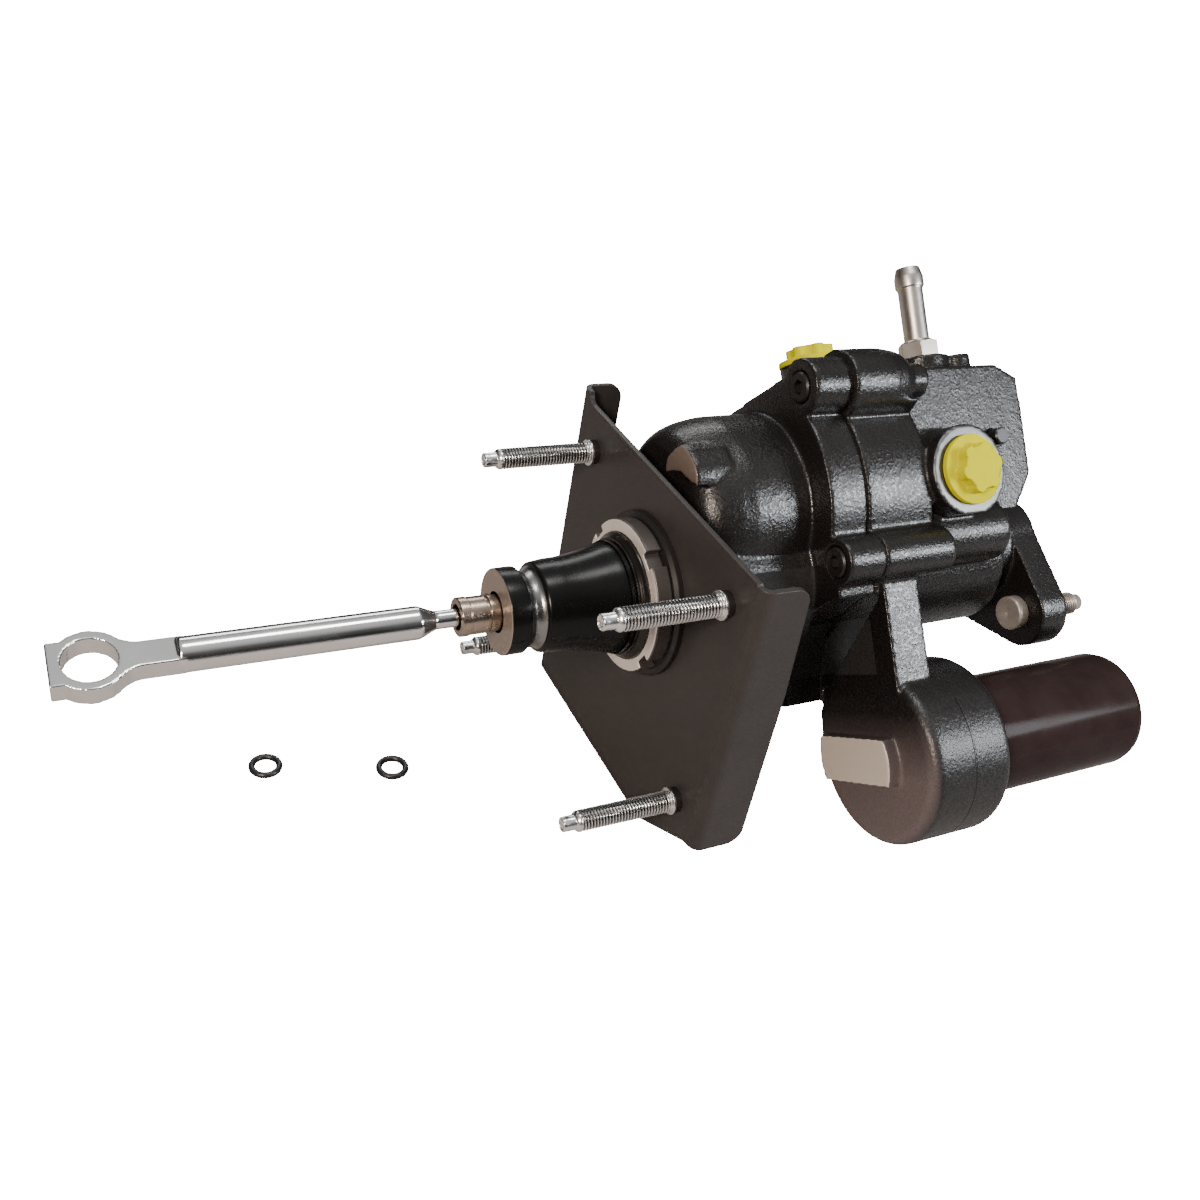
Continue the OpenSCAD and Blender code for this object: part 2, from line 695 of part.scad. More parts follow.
// Closed socket for the accumulator, the web that carries it and its machined pad
module accumulator_socket() {
    at(acc_n, acc_v) turned([[acc_x0, 0], [acc_x0, acc_r - 5], [acc_x0 + 0.7, acc_r - 2.6], [acc_x0 + 2.4, acc_r - 0.8],
        [acc_x0 + 5, acc_r], [acc_x1 - 3, acc_r], [acc_x1 - 0.9, acc_r - 0.9], [acc_x1, acc_r - 3], [acc_x1, 0]]);
    slab(acc_x0, acc_x0 + web_t) polygon([[-web_n, 0], [-web_n, acc_v + 30], [-acc_n, acc_v],
        [-acc_n + acc_r - 3, acc_v], [-acc_n + acc_r - 5, acc_v + 20], [-4, -61], [-56, -16], [-40, 10]]);
    slab(acc_x0 - pad_h, acc_x0 + 8) intersection() {
        lobe(acc_n - 6.5, acc_v - 0.5, 26);
        translate([-acc_n - 25, acc_v - 11.5]) square([60, 22]);
    }
}

module housing_bores() {
    // Power piston bore and the pilot for the master cylinder
    bar(joint_x - past, bore_x1, piston_r);
    bar(bore_x1 - past, mc_x1 + past, pilot_r - 0.6);
    bar(mc_x1 - pilot_l, mc_x1 + past, pilot_r);
    bar(retainer_x + retainer_t + 0.2, retainer_x + retainer_t + 2, piston_r + 1.1);
    // Spool bore, its end plug and ring groove
    at(0, spool_v) {
        bar(joint_x - past, plug_bore_x + past, sleeve_r);
        bar(plug_bore_x, mc_x0 + past, plug_bore_r);
        bar(block_x - 2.9, block_x - 1.1, plug_bore_r + 0.9);
        bar(mc_x0, mc_x1 + past, plug_bore_r + 0.5);
    }
    // Ports and drillings
    at(0, port_v, port_x) rotate([90, 0, 0]) cylinder(r = port_r, h = block_near + port_boss_l + past);
    at(top_port_n, spool_v + 4, top_port_x) cylinder(r = port_r, h = top_port_v - spool_v);
    at(barb_n, block_top - 12, barb_x) cylinder(r = barb_r, h = 24);
    at(barb_n, spool_v + 10, barb_x) cylinder(r = 4, h = 50);
    at(block_near - 8, gallery_v, gallery_x) rotate([90, 0, 0]) cylinder(r = 4, h = 8 + past);
    // Check valve bore
    at(check_n, check_v) {
        bar(check_seat_x, check_x1 + past, check_bore_r);
        bar(check_x0, check_seat_x + past, check_pass_r);
        bar(check_x1, check_x1 + 20, check_bore_r + 4);
    }
    for (b = bolts) at(b[0], b[1]) bar(joint_x - past, joint_x + bolt_grip + 3, bolt_r + run);
    // Stud holes, and the pocket that lets the far stud's head lie in the block
    for (s = [-1, 1]) at(s * mc_n, s * mc_v) bar(mc_x0 - past, mc_x1 + past, mc_press_r + run);
    at(-mc_n, -mc_v) bar(mc_x0 - mc_head_t - 3, mc_x0, mc_head_r + 1);
    translate([mc_x0 - mc_head_t - 3, mc_n, -mc_v - mc_head_r - 1]) cube([mc_head_t + 3, 40, 2 * (mc_head_r + 1)]);
    // Accumulator bore with its seal and ring grooves
    at(acc_n, acc_v) {
        bar(acc_floor_x, can_x0 + past, can_r - 5);
        bar(can_x0 - seat, acc_x1 + past, shoulder_r + run);
        bar(can_seal_x - 1.5, can_seal_x + 1.5, shoulder_r + 2.7);
        bar(can_ring_x - 0.2, can_ring_x + 1.9, shoulder_r + 2.2);
    }
}

module master_cylinder_studs() {
    color(steel) clocked() for (s = [-1, 1]) at(s * mc_n, s * mc_v) turned([
        [mc_x0 - mc_head_t, 0], [mc_x0 - mc_head_t, mc_head_r - 0.8], [mc_x0 - mc_head_t + 0.8, mc_head_r],
        [mc_x0, mc_head_r], [mc_x0, mc_press_r], [mc_x1, mc_press_r], [mc_x1, mc_stud_r],
        [mc_x1 + mc_stud_l - 6, mc_stud_r],
        [mc_x1 + mc_stud_l - 4.5, mc_stud_r - 1.7], [mc_x1 + mc_stud_l - 0.5, mc_stud_r - 1.7],
        [mc_x1 + mc_stud_l, mc_stud_r - 2.2], [mc_x1 + mc_stud_l, 0]]);
}

// Ball, neck, shank and flat eye of the pedal pushrod
ball_x = snout_x - socket_out + 11;
shank_x1 = snout_x - socket_out - 16;
blade_x1 = -205;
module pushrod() {
    eye_end_x = eye_x - eye_r - 0.8;
    blade_half = 4.6;
    color(chrome_grey) {
        translate([ball_x, 0, 0]) rotate([0, 90, 0]) sphere(r = ball_r);
        turned([[blade_x1 - 3, 0], [blade_x1 - 3, 4.5], [blade_x1, shank_r], [shank_x1 - 1.5, shank_r],
            [shank_x1, shank_r - 0.6], [shank_x1 + 6, neck_r], [ball_x, neck_r], [ball_x, 0]]);
        rotate([eye_roll, 0, 0]) translate([0, 0, -eye_t / 2]) linear_extrude(eye_t) difference() {
            union() {
                translate([eye_x, 0]) circle(r = eye_r);
                translate([eye_end_x, -10.5]) square([8, 21]);
                translate([eye_x, -blade_half]) square([blade_x1 - eye_x, 2 * blade_half]);
                for (s = [-1, 1]) eye_shoulder(s, blade_half);
            }
            translate([eye_x, 0]) circle(r = eye_hole_r);
        }
    }
}

// Concave fillet between the eye and its blade
module eye_shoulder(s, half) {
    rf = 12;
    fx = sqrt(pow(eye_r + rf, 2) - pow(half + rf, 2));
    difference() {
        polygon([[eye_x, 0], [eye_x, s * (eye_r - 1)], [eye_x + fx, s * (half + rf)], [eye_x + fx, 0]]);
        translate([eye_x + fx, s * (half + rf)]) circle(r = rf);
    }
}

module pushrod_grommet() {
    color(seal_black) turned([[ball_x - 4.6, neck_r + 0.4], [ball_x - 5.4, ball_r - 0.2], [ball_x - 5.4, ball_r + 0.2],
        [ball_x - 3.6, ball_r + 0.2], [ball_x - 3.6, ball_r - 0.9]]);
}

module input_socket() {
    x0 = snout_x - socket_out;
    mouth = neck_r + 1.7;
    cup_r = ball_r + 0.7;
    color(bronze) turned([[x0, mouth], [x0, collar_r - 0.4], [x0 + 0.4, collar_r], [x0 + 4, collar_r],
        [x0 + 4, collar_r - 0.5], [x0 + 4.6, collar_r - 0.5], [x0 + 4.6, collar_r - 0.3], [x0 + 12, collar_r - 0.3],
        [x0 + 12, collar_r - 1.2], [x0 + 13.4, collar_r - 1.2], [x0 + 13.4, collar_r], [x0 + 15, collar_r],
        [x0 + 15, socket_r], [socket_end_x, socket_r], [socket_end_x, rod_r - 2 + run], [socket_end_x - 14, rod_r - 2 + run],
        [socket_end_x - 14, 0], [ball_x + ball_r + 0.5, 0], [ball_x + ball_r + 0.5, cup_r - 1.5], [ball_x + 3, cup_r],
        [ball_x - 6, cup_r], [ball_x - 6, mouth]]);
}

module input_rod() {
    color(steel) clocked() difference() {
        turned([[socket_end_x - 13.5, 0], [socket_end_x - 13.5, rod_r - 2], [socket_end_x, rod_r - 2],
            [socket_end_x, rod_r], [piston_x + 11, rod_r], [piston_x + 12, rod_r - 1], [piston_x + 12, 0]]);
        translate([pin_x, arm_y0 + arm_t, 0]) rotate([90, 0, 0]) cylinder(r = cross_pin_r, h = 2 * (arm_y0 + arm_t));
    }
}

module cross_pin() {
    half = arm_y0 + arm_t + 1.5;
    color(steel) clocked() translate([pin_x, half, 0]) rotate([90, 0, 0])
        cylinder(r = cross_pin_r - 0.02, h = 2 * half);
}

module power_piston() {
    x1 = piston_x + piston_l;
    color(steel) clocked() turned([[piston_x, rod_r + run], [piston_x, 12], [piston_x + 8, 12], [piston_x + 8, piston_r - 1],
        [piston_x + 9, piston_r - run], [x1 - 12.3, piston_r - run], [x1 - 12.3, piston_r - 3], [x1 - 7.7, piston_r - 3],
        [x1 - 7.7, piston_r - run], [x1 - 1, piston_r - run], [x1, piston_r - 1], [x1, out_rod_r + run],
        [x1 - 12, out_rod_r + run], [x1 - 12, 0], [piston_x + 20, 0], [piston_x + 20, rod_r + run]]);
}

module piston_seal() {
    x1 = piston_x + piston_l;
    color(seal_black) clocked() turned([[x1 - 12, piston_r - 3 + run], [x1 - 12, piston_r - 0.1],
        [x1 - 8, piston_r - 0.1], [x1 - 8, piston_r - 3 + run]]);
}

module output_rod() {
    x0 = piston_x + piston_l - 12 + seat;
    color(steel) clocked() turned([[x0, 0], [x0, out_rod_r], [out_tip_x - 2, out_rod_r], [out_tip_x - 0.6, out_rod_r - 1],
        [out_tip_x, out_rod_r - 2.6], [out_tip_x, 0]]);
}

module return_spring() {
    color(steel) clocked() coil(piston_x + piston_l + seat, retainer_x - seat, 14, 1.25, 5);
}

module spring_retainer() {
    color(steel) clocked() turned([[retainer_x, out_rod_r + 1.5], [retainer_x, piston_r - 0.1],
        [retainer_x + retainer_t, piston_r - 0.1], [retainer_x + retainer_t, out_rod_r + 1.5]]);
}

module retainer_ring() {
    x0 = retainer_x + retainer_t + 0.3;
    color(steel) clocked() snap_ring(x0, x0 + 1.5, piston_r - 2.4, piston_r + 1);
}

// A split ring about X
module snap_ring(x0, x1, r_in, r_out) {
    difference() {
        turned([[x0, r_in], [x0, r_out], [x1, r_out], [x1, r_in]]);
        translate([x0 - past, -3, -r_out - past]) cube([x1 - x0 + 2 * past, 6, r_out - r_in + 3]);
    }
}

module valve_lever() {
    color(steel) clocked() at(0, spool_v, pivot_x) rotate([0, lever_rest, 0]) difference() {
        union() {
            for (y = [-arm_y0 - arm_t, arm_y0]) translate([0, y + arm_t, 0]) rotate([90, 0, 0]) linear_extrude(arm_t) {
                circle(r = 8);
                polygon([[-8, 0], [8, 0], [6.5, -arm_end], [-6.5, -arm_end]]);
            }
            translate([-3, -arm_y0 - past, -26]) cube([6, 2 * (arm_y0 + past), 8]);
        }
        translate([0, arm_y0 + arm_t + past, 0]) rotate([90, 0, 0])
            cylinder(r = lever_pin_r + run, h = 2 * (arm_y0 + arm_t + past));
        translate([-slot_half, -arm_y0 - arm_t - past, -arm_end - past])
            cube([2 * slot_half, 2 * (arm_y0 + arm_t + past), arm_end - slot_top + past]);
    }
}

module lever_pin() {
    half = arm_y0 + arm_t + 1;
    color(steel) clocked() at(0, spool_v, pivot_x) translate([0, half, 0]) rotate([90, 0, 0])
        cylinder(r = lever_pin_r, h = 2 * half);
}

module spool_sleeve() {
    tongue = 4;
    color(steel) clocked() at(0, spool_v) difference() {
        union() {
            bar(joint_x - 6, sleeve_x1, sleeve_r - run);
            translate([0, tongue, 0]) rotate([90, 0, 0]) linear_extrude(2 * tongue) {
                translate([pivot_x, 0]) circle(r = 7);
                translate([pivot_x, -7]) square([joint_x - 5 - pivot_x, 14]);
            }
        }
        translate([pivot_x, tongue + past, 0]) rotate([90, 0, 0]) cylinder(r = lever_pin_r + 0.02, h = 2 * (tongue + past));
        bar(sleeve_x1 - 42, sleeve_x1 + past, spool_r + run);
    }
}

module spool_valve() {
    x0 = sleeve_x1 - 41;
    color(chrome_grey) clocked() at(0, spool_v) turned([[x0, 0], [x0, spool_r], [x0 + 8, spool_r], [x0 + 8, spool_r - 2],
        [x0 + 14, spool_r - 2], [x0 + 14, spool_r], [x0 + 24, spool_r], [x0 + 24, spool_r - 2], [x0 + 30, spool_r - 2],
        [x0 + 30, spool_r], [spool_collar_x, spool_r], [spool_collar_x, sleeve_r - 0.6], [spool_collar_x + 4, sleeve_r - 0.6],
        [spool_collar_x + 4, spool_r - 1.8], [spool_end_x, spool_r - 1.8], [spool_end_x, 0]]);
}

module spool_spring() {
    color(steel) clocked() at(0, spool_v)
        coil(spool_collar_x + 4 + seat, plug_bore_x - seat, 7, 0.9, 6, 12, 6);
}

module spool_plug() {
    x1 = block_x - 3.2;
    color(steel) clocked() at(0, spool_v) difference() {
        turned([[plug_bore_x + 0.1, 0], [plug_bore_x + 0.1, plug_bore_r - run], [x1 - 6.5, plug_bore_r - run],
            [x1 - 6.5, plug_bore_r - 2.5], [x1 - 3.5, plug_bore_r - 2.5], [x1 - 3.5, plug_bore_r - run],
            [x1, plug_bore_r - run], [x1, 0]]);
        bar(plug_bore_x - past, plug_bore_x + 5, spool_r - 1);
    }
}

module spool_plug_seal() {
    color(seal_black) clocked() at(0, spool_v) o_ring(block_x - 8.2, plug_bore_r - 1.26, 1.18);
}

module spool_plug_ring() {
    color(steel) clocked() at(0, spool_v) snap_ring(block_x - 2.8, block_x - 1.3, plug_bore_r - 1.8, plug_bore_r + 0.8);
}

module check_ball() {
    color(chrome_grey) clocked() at(check_n, check_v, check_ball_x) sphere(r = check_ball_r);
}

module check_spring() {
    x0 = check_ball_x + check_ball_r + seat;
    color(steel) clocked() at(check_n, check_v) coil(x0, check_x1 - 10 - seat, 3.4, 0.6, 5, 12, 6);
}

module check_plug() {
    color(steel) clocked() at(check_n, check_v) difference() {
        turned([[check_x1 - 10, 0], [check_x1 - 10, check_bore_r - run], [check_x1, check_bore_r - run],
            [check_x1, check_bore_r + 2.5], [check_x1 + 3, check_bore_r + 2.5], [check_x1 + 3, 0]]);
        hex_bar(check_x1 - 2, check_x1 + 3 + past, 3.6);
    }
}

module gallery_plug() {
    color(cast_black) clocked() at(block_near, gallery_v, gallery_x) rotate([90, 0, 0]) {
        translate([0, 0, -7]) cylinder(r = 4 - run, h = 7);
        cylinder(r = 4.6, h = 1.2);
        cylinder(r = 4.2, h = 5.4);
        translate([0, 0, 5.4]) cylinder(r1 = 4.2, r2 = 3.5, h = 0.7);
    }
}

// Yellow shipping plug: flange, six-lobed grip and a shank down the port, along +Z
module port_plug() {
    color(plug_yellow) {
        cylinder(r = plug_flange_r, h = plug_flange_t);
        translate([0, 0, plug_flange_t]) linear_extrude(plug_grip_h) {
            circle(r = plug_grip_r - 0.7, $fn = 6);
            for (i = [0:5]) rotate(60 * i) translate([plug_grip_r - 3.4, 0]) circle(r = 3.4, $fn = 24);
        }
        translate([0, 0, -10]) difference() {
            cylinder(r = port_r - 0.4, h = 10);
            translate([0, 0, -past]) cylinder(r = port_r - 2.4, h = 9);
        }
    }
}

module near_port_plug() {
    clocked() at(block_near + port_boss_l, port_v, port_x) rotate([90, 0, 0]) rotate(12) port_plug();
}

module top_port_plug() { clocked() at(top_port_n, top_port_v, top_port_x) rotate(20) port_plug(); }

// The two spare seals for the pipe unions lie loose beside the booster
module port_seal_rings() {
    color(seal_black) for (p = [[-162, 46], [-104, 29]]) translate([p[0], p[1], floor_z + 1.3])
        rotate([0, -90, 0]) o_ring(0, 6.8, 1.3);
}

module return_fitting() {
    v0 = block_top + 8;
    color(zinc) clocked() at(barb_n, v0, barb_x) difference() {
        union() {
            translate([0, 0, -12]) cylinder(r = barb_r - run, h = 12);
            cylinder(r = 10.2, h = 8, $fn = 6);
            rotate_extrude() polygon([[0, 7], [9, 8], [7.4, 9.2], [barb_r, 9.2], [barb_r, barb_top - v0 - 11],
                [barb_r + 1, barb_top - v0 - 9.5], [barb_r + 1, barb_top - v0 - 5], [barb_r - 0.4, barb_top - v0],
                [0, barb_top - v0]]);
        }
        translate([0, 0, -12 - past]) cylinder(r = barb_r - 2, h = barb_top - v0 + 12 + 2 * past);
    }
}

module accumulator_can() {
    r = can_r;
    color(can_brown) clocked() at(acc_n, acc_v) turned([[can_x0, r - can_wall], [can_x0, shoulder_r],
        [can_ring_x - 0.4, shoulder_r], [can_ring_x - 0.4, r], [can_end_x - 6, r],
        [can_end_x - 3, r - 0.8], [can_end_x - 0.8, r - 3], [can_end_x, r - 6], [can_end_x, 5 + run],
        [can_end_x - can_wall, 5 + run], [can_end_x - can_wall, r - 6], [can_end_x - 6, r - can_wall]]);
}

module accumulator_piston() {
    x1 = gas_piston_x + gas_piston_l;
    r = can_r - can_wall - run;
    color(steel) clocked() at(acc_n, acc_v) turned([[gas_piston_x, 0], [gas_piston_x, r - 0.6], [gas_piston_x + 0.6, r],
        [gas_piston_x + 8, r], [gas_piston_x + 8, r - 3], [gas_piston_x + 12, r - 3], [gas_piston_x + 12, r],
        [x1, r], [x1, r - 3], [x1 - 14, r - 4], [x1 - 14, 0]]);
}

module accumulator_piston_seal() {
    r = can_r - can_wall - run;
    color(seal_black) clocked() at(acc_n, acc_v) turned([[gas_piston_x + 8.2, r - 3 + run], [gas_piston_x + 8.2, r],
        [gas_piston_x + 11.8, r], [gas_piston_x + 11.8, r - 3 + run]]);
}

module accumulator_seal() {
    color(seal_black) clocked() at(acc_n, acc_v) o_ring(can_seal_x, shoulder_r + 1.37, 1.3);
}

module accumulator_ring() {
    color(steel) clocked() at(acc_n, acc_v) snap_ring(can_ring_x, can_ring_x + 1.6, can_r + 0.1, shoulder_r + 2.1);
}

module charging_plug() {
    color(steel) clocked() at(acc_n, acc_v) difference() {
        turned([[can_end_x - can_wall, 0], [can_end_x - can_wall, 5], [can_end_x, 5], [can_end_x, 7.5],
            [can_end_x + 2.4, 7.5], [can_end_x + 3, 6.9], [can_end_x + 3, 0]]);
        hex_bar(can_end_x - 1, can_end_x + 3 + past, 3);
    }
}

mounting_bracket();
firewall_studs();
spanner_nut();
nut_washer();
cover();
cover_seal();
cover_bolts();
input_seal();
input_seal_ring();
housing();
master_cylinder_studs();
pushrod();
pushrod_grommet();
input_socket();
input_rod();
cross_pin();
power_piston();
piston_seal();
output_rod();
return_spring();
spring_retainer();
retainer_ring();
valve_lever();
lever_pin();
spool_sleeve();
spool_valve();
spool_spring();
spool_plug();
spool_plug_seal();
spool_plug_ring();
check_ball();
check_spring();
check_plug();
gallery_plug();
near_port_plug();
top_port_plug();
port_seal_rings();
return_fitting();
accumulator_can();
accumulator_piston();
accumulator_piston_seal();
accumulator_seal();
accumulator_ring();
charging_plug();
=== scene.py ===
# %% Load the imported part
import json
import math
import bpy
from mathutils import Matrix, Vector

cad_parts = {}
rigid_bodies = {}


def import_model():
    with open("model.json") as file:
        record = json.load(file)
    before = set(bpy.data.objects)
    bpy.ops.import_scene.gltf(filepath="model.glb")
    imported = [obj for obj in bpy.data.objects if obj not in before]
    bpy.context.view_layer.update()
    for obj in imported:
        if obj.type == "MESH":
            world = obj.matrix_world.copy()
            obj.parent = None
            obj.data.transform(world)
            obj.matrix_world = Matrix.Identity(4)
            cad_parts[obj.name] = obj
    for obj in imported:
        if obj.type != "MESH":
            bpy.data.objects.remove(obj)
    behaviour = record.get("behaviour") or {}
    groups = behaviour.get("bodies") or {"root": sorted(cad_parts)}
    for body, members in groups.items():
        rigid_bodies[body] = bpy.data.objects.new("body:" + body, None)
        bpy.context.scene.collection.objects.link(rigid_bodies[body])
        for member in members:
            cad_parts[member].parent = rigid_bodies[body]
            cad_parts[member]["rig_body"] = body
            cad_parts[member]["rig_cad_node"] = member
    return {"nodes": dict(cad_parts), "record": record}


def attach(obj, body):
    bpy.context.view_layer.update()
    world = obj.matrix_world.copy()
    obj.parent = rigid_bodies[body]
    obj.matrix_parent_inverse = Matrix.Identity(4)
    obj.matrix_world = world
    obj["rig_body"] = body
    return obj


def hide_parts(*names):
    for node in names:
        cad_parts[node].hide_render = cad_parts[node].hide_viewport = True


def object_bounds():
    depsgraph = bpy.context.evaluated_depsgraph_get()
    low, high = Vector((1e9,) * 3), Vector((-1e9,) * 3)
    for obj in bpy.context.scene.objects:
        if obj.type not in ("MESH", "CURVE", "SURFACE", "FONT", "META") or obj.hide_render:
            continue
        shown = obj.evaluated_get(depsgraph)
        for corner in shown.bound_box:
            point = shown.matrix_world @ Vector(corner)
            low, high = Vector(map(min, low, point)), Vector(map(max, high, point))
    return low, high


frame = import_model()
cad_low, cad_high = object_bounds()
nodes = frame["nodes"]
MM = 0.001
for plain_material in list(bpy.data.materials):
    bpy.data.materials.remove(plain_material)
part_size = [round((high - low) / MM) for low, high in zip(cad_low, cad_high)]
print("nodes:", len(nodes), "size of the part in mm:", part_size)

# %% [markdown]
# The camera comes first, because every later choice is judged through it. Its place and its turn were
# worked out from the photograph: straight lines of the booster give its axis, and the studs give the
# scale. The three axes below are the camera's own right, up and forward, so no Euler angles have to be
# guessed. Blender's camera looks along its own -Z, which is why the matrix takes the forward axis with a
# minus sign.

# %% Camera
camera_place = Vector((-0.25308, -0.38205, 0.29849))
camera_right = Vector((0.894597, -0.418570, 0.156508))
camera_up = Vector((0.122024, 0.565728, 0.815513))
camera_forward = Vector((0.429890, 0.710458, -0.557175))
sensor_w = 36.0
focal_share = 0.984665

bpy.ops.object.camera_add()
camera = bpy.context.object
camera.name = "photo_camera"
camera.data.sensor_width = sensor_w
camera.data.lens = focal_share * sensor_w
camera.data.clip_start = 0.01
turn = Matrix((camera_right, camera_up, -camera_forward)).transposed().to_4x4()
camera.matrix_world = Matrix.Translation(camera_place) @ turn
bpy.context.scene.camera = camera
print("camera lens in mm:", round(camera.data.lens, 2))

# %% [markdown]
# The photograph is a studio shot on pure white. A wide floor stands for the table. The world is a soft
# white dome with a dark band low on the horizon, because bright metal shows only what stands round it:
# without a dark band the chrome of the pushrod would be one flat grey. The camera itself sees plain
# white instead of the dome.

# %% World
dome_strength = 0.6
seen_white = 30.0
ramp_stops = [(0.0, 0.35), (0.49, 0.30), (0.52, 0.05), (0.63, 0.04), (0.80, 0.15), (0.92, 0.8), (1.0, 1.1)]
world = bpy.data.worlds.new("studio_world")
bpy.context.scene.world = world
world.use_nodes = True
world_nodes = world.node_tree.nodes
world_links = world.node_tree.links
dome = world_nodes["Background"]
dome.inputs["Strength"].default_value = dome_strength
sky_place = world_nodes.new("ShaderNodeTexCoord")
sky_split = world_nodes.new("ShaderNodeSeparateXYZ")
half_up = world_nodes.new("ShaderNodeMapRange")
half_up.inputs["From Min"].default_value = -1.0
sky_ramp = world_nodes.new("ShaderNodeValToRGB")
while len(sky_ramp.color_ramp.elements) < len(ramp_stops):
    sky_ramp.color_ramp.elements.new(0.5)
for stop, (position, level) in zip(sky_ramp.color_ramp.elements, ramp_stops):
    stop.position = position
    stop.color = (level, level, level * 1.01, 1.0)
world_links.new(sky_place.outputs["Generated"], sky_split.inputs[0])
world_links.new(sky_split.outputs["Z"], half_up.inputs["Value"])
world_links.new(half_up.outputs[0], sky_ramp.inputs[0])
world_links.new(sky_ramp.outputs["Color"], dome.inputs["Color"])
print("world stops:", len(ramp_stops))

# %% White behind the part
plain_sky = world_nodes.new("ShaderNodeBackground")
plain_sky.inputs["Strength"].default_value = seen_white
seen_sky = world_nodes.new("ShaderNodeLightPath")
sky_choice = world_nodes.new("ShaderNodeMixShader")
world_links.new(seen_sky.outputs["Is Camera Ray"], sky_choice.inputs[0])
world_links.new(dome.outputs[0], sky_choice.inputs[1])
world_links.new(plain_sky.outputs[0], sky_choice.inputs[2])
world_links.new(sky_choice.outputs[0], world_nodes["World Output"].inputs["Surface"])
print("world nodes:", len(world_nodes))

# %% [markdown]
# Four area lights do the modelling. The key stands to the right, where a mirror on the castings' near
# faces would show it, and gives them their bright blue-white sparkle. A small warm lamp on the pedal's
# side draws the bronze edges. One above fills the tops, and one behind rims the silhouette.

# %% Lights


def soft_light(name, place, target, size, power, color):
    """A rectangular area light that looks at a point."""
    bpy.ops.object.light_add(type="AREA", location=place)
    light = bpy.context.object
    light.name = name
    light.data.shape = "RECTANGLE"
    light.data.size = size[0]
    light.data.size_y = size[1]
    light.data.energy = power
    light.data.color = color
    light.rotation_euler = (Vector(target) - Vector(place)).to_track_quat("-Z", "Y").to_euler()


near_middle = (0.12, -0.03, 0.0)
middle = (0.1, 0.0, 0.0)
soft_light("key_light", (0.85, -0.78, 0.55), near_middle, (0.4, 0.34), 15.0, (0.91, 0.95, 1.0))
soft_light("warm_light", (-0.75, -0.6, 0.62), middle, (0.2, 0.25), 13.0, (1.0, 0.84, 0.72))
soft_light("top_light", (0.1, 0.1, 1.3), middle, (0.5, 0.3), 6.0, (1.0, 0.99, 0.97))
soft_light("far_light", (0.2, 1.1, 0.7), middle, (0.9, 0.3), 4.0, (1.0, 1.0, 1.0))

# %% [markdown]
# The floor looks white to the camera, as the paper in the photograph does, but lights the part like a
# warm grey table. A Light Path node tells the two apart: what the camera sees directly is mostly a white
# glow, and everything else meets the matt surface.

# %% Floor
floor_z = cad_low[2]
floor_size = 80.0
floor_gap = 0.0002
glow_part = 0.85
bpy.ops.mesh.primitive_plane_add(size=floor_size, location=(0.0, 0.0, floor_z - floor_gap))
floor = bpy.context.object
floor.name = "studio_floor"
floor_paint = bpy.data.materials.new("floor_paint")
floor_paint.use_nodes = True
floor_tree = floor_paint.node_tree
floor_shader = floor_tree.nodes["Principled BSDF"]
floor_shader.inputs["Base Color"].default_value = (0.36, 0.335, 0.32, 1.0)
floor_shader.inputs["Roughness"].default_value = 0.8
floor_glow = floor_tree.nodes.new("ShaderNodeEmission")
floor_glow.inputs["Strength"].default_value = seen_white
floor_mix = floor_tree.nodes.new("ShaderNodeMixShader")
seen_directly = floor_tree.nodes.new("ShaderNodeLightPath")
glow_share = floor_tree.nodes.new("ShaderNodeMath")
glow_share.operation = "MULTIPLY"
glow_share.inputs[1].default_value = glow_part
floor_tree.links.new(seen_directly.outputs["Is Camera Ray"], glow_share.inputs[0])
floor_tree.links.new(glow_share.outputs[0], floor_mix.inputs[0])
floor_tree.links.new(floor_shader.outputs[0], floor_mix.inputs[1])
floor_tree.links.new(floor_glow.outputs[0], floor_mix.inputs[2])
floor_tree.links.new(floor_mix.outputs[0], floor_tree.nodes["Material Output"].inputs["Surface"])
floor.data.materials.append(floor_paint)
print("floor at z in mm:", round(floor_z / MM, 2))

# %% [markdown]
# Materials come next. Effects that several finishes share are node groups. All of them read Object
# coordinates, so their grain is in real millimetres and stays on the piece from every side. The first is
# a slow drift for colour and gloss. The second is the sand-cast skin of the two castings. The third is
# the fine rings that a lathe leaves.

# %% Helpers for node trees


def new_group(name, inputs, outputs):
    """A shader node group with named float sockets; inputs are (name, value), outputs are names."""
    group = bpy.data.node_groups.new(name, "ShaderNodeTree")
    for socket_name, value in inputs:
        socket = group.interface.new_socket(socket_name, in_out="INPUT", socket_type="NodeSocketFloat")
        socket.default_value = value
    for socket_name in outputs:
        group.interface.new_socket(socket_name, in_out="OUTPUT", socket_type="NodeSocketFloat")
    start = group.nodes.new("NodeGroupInput")
    end = group.nodes.new("NodeGroupOutput")
    return group, start, end


def add_noise(tree, scale, detail, roughness=0.5):
    """A noise node that reads Object coordinates."""
    place = tree.nodes.new("ShaderNodeTexCoord")
    noise = tree.nodes.new("ShaderNodeTexNoise")
    noise.inputs["Scale"].default_value = scale
    noise.inputs["Detail"].default_value = detail
    noise.inputs["Roughness"].default_value = roughness
    tree.links.new(place.outputs["Object"], noise.inputs["Vector"])
    return noise


def add_math(tree, operation, a, b=0.0, c=0.0):
    """A math node; each value is a socket or a number."""
    node = tree.nodes.new("ShaderNodeMath")
    node.operation = operation
    for index, value in enumerate((a, b, c)):
        if isinstance(value, (int, float)):
            node.inputs[index].default_value = value
        else:
            tree.links.new(value, node.inputs[index])
    return node.outputs[0]


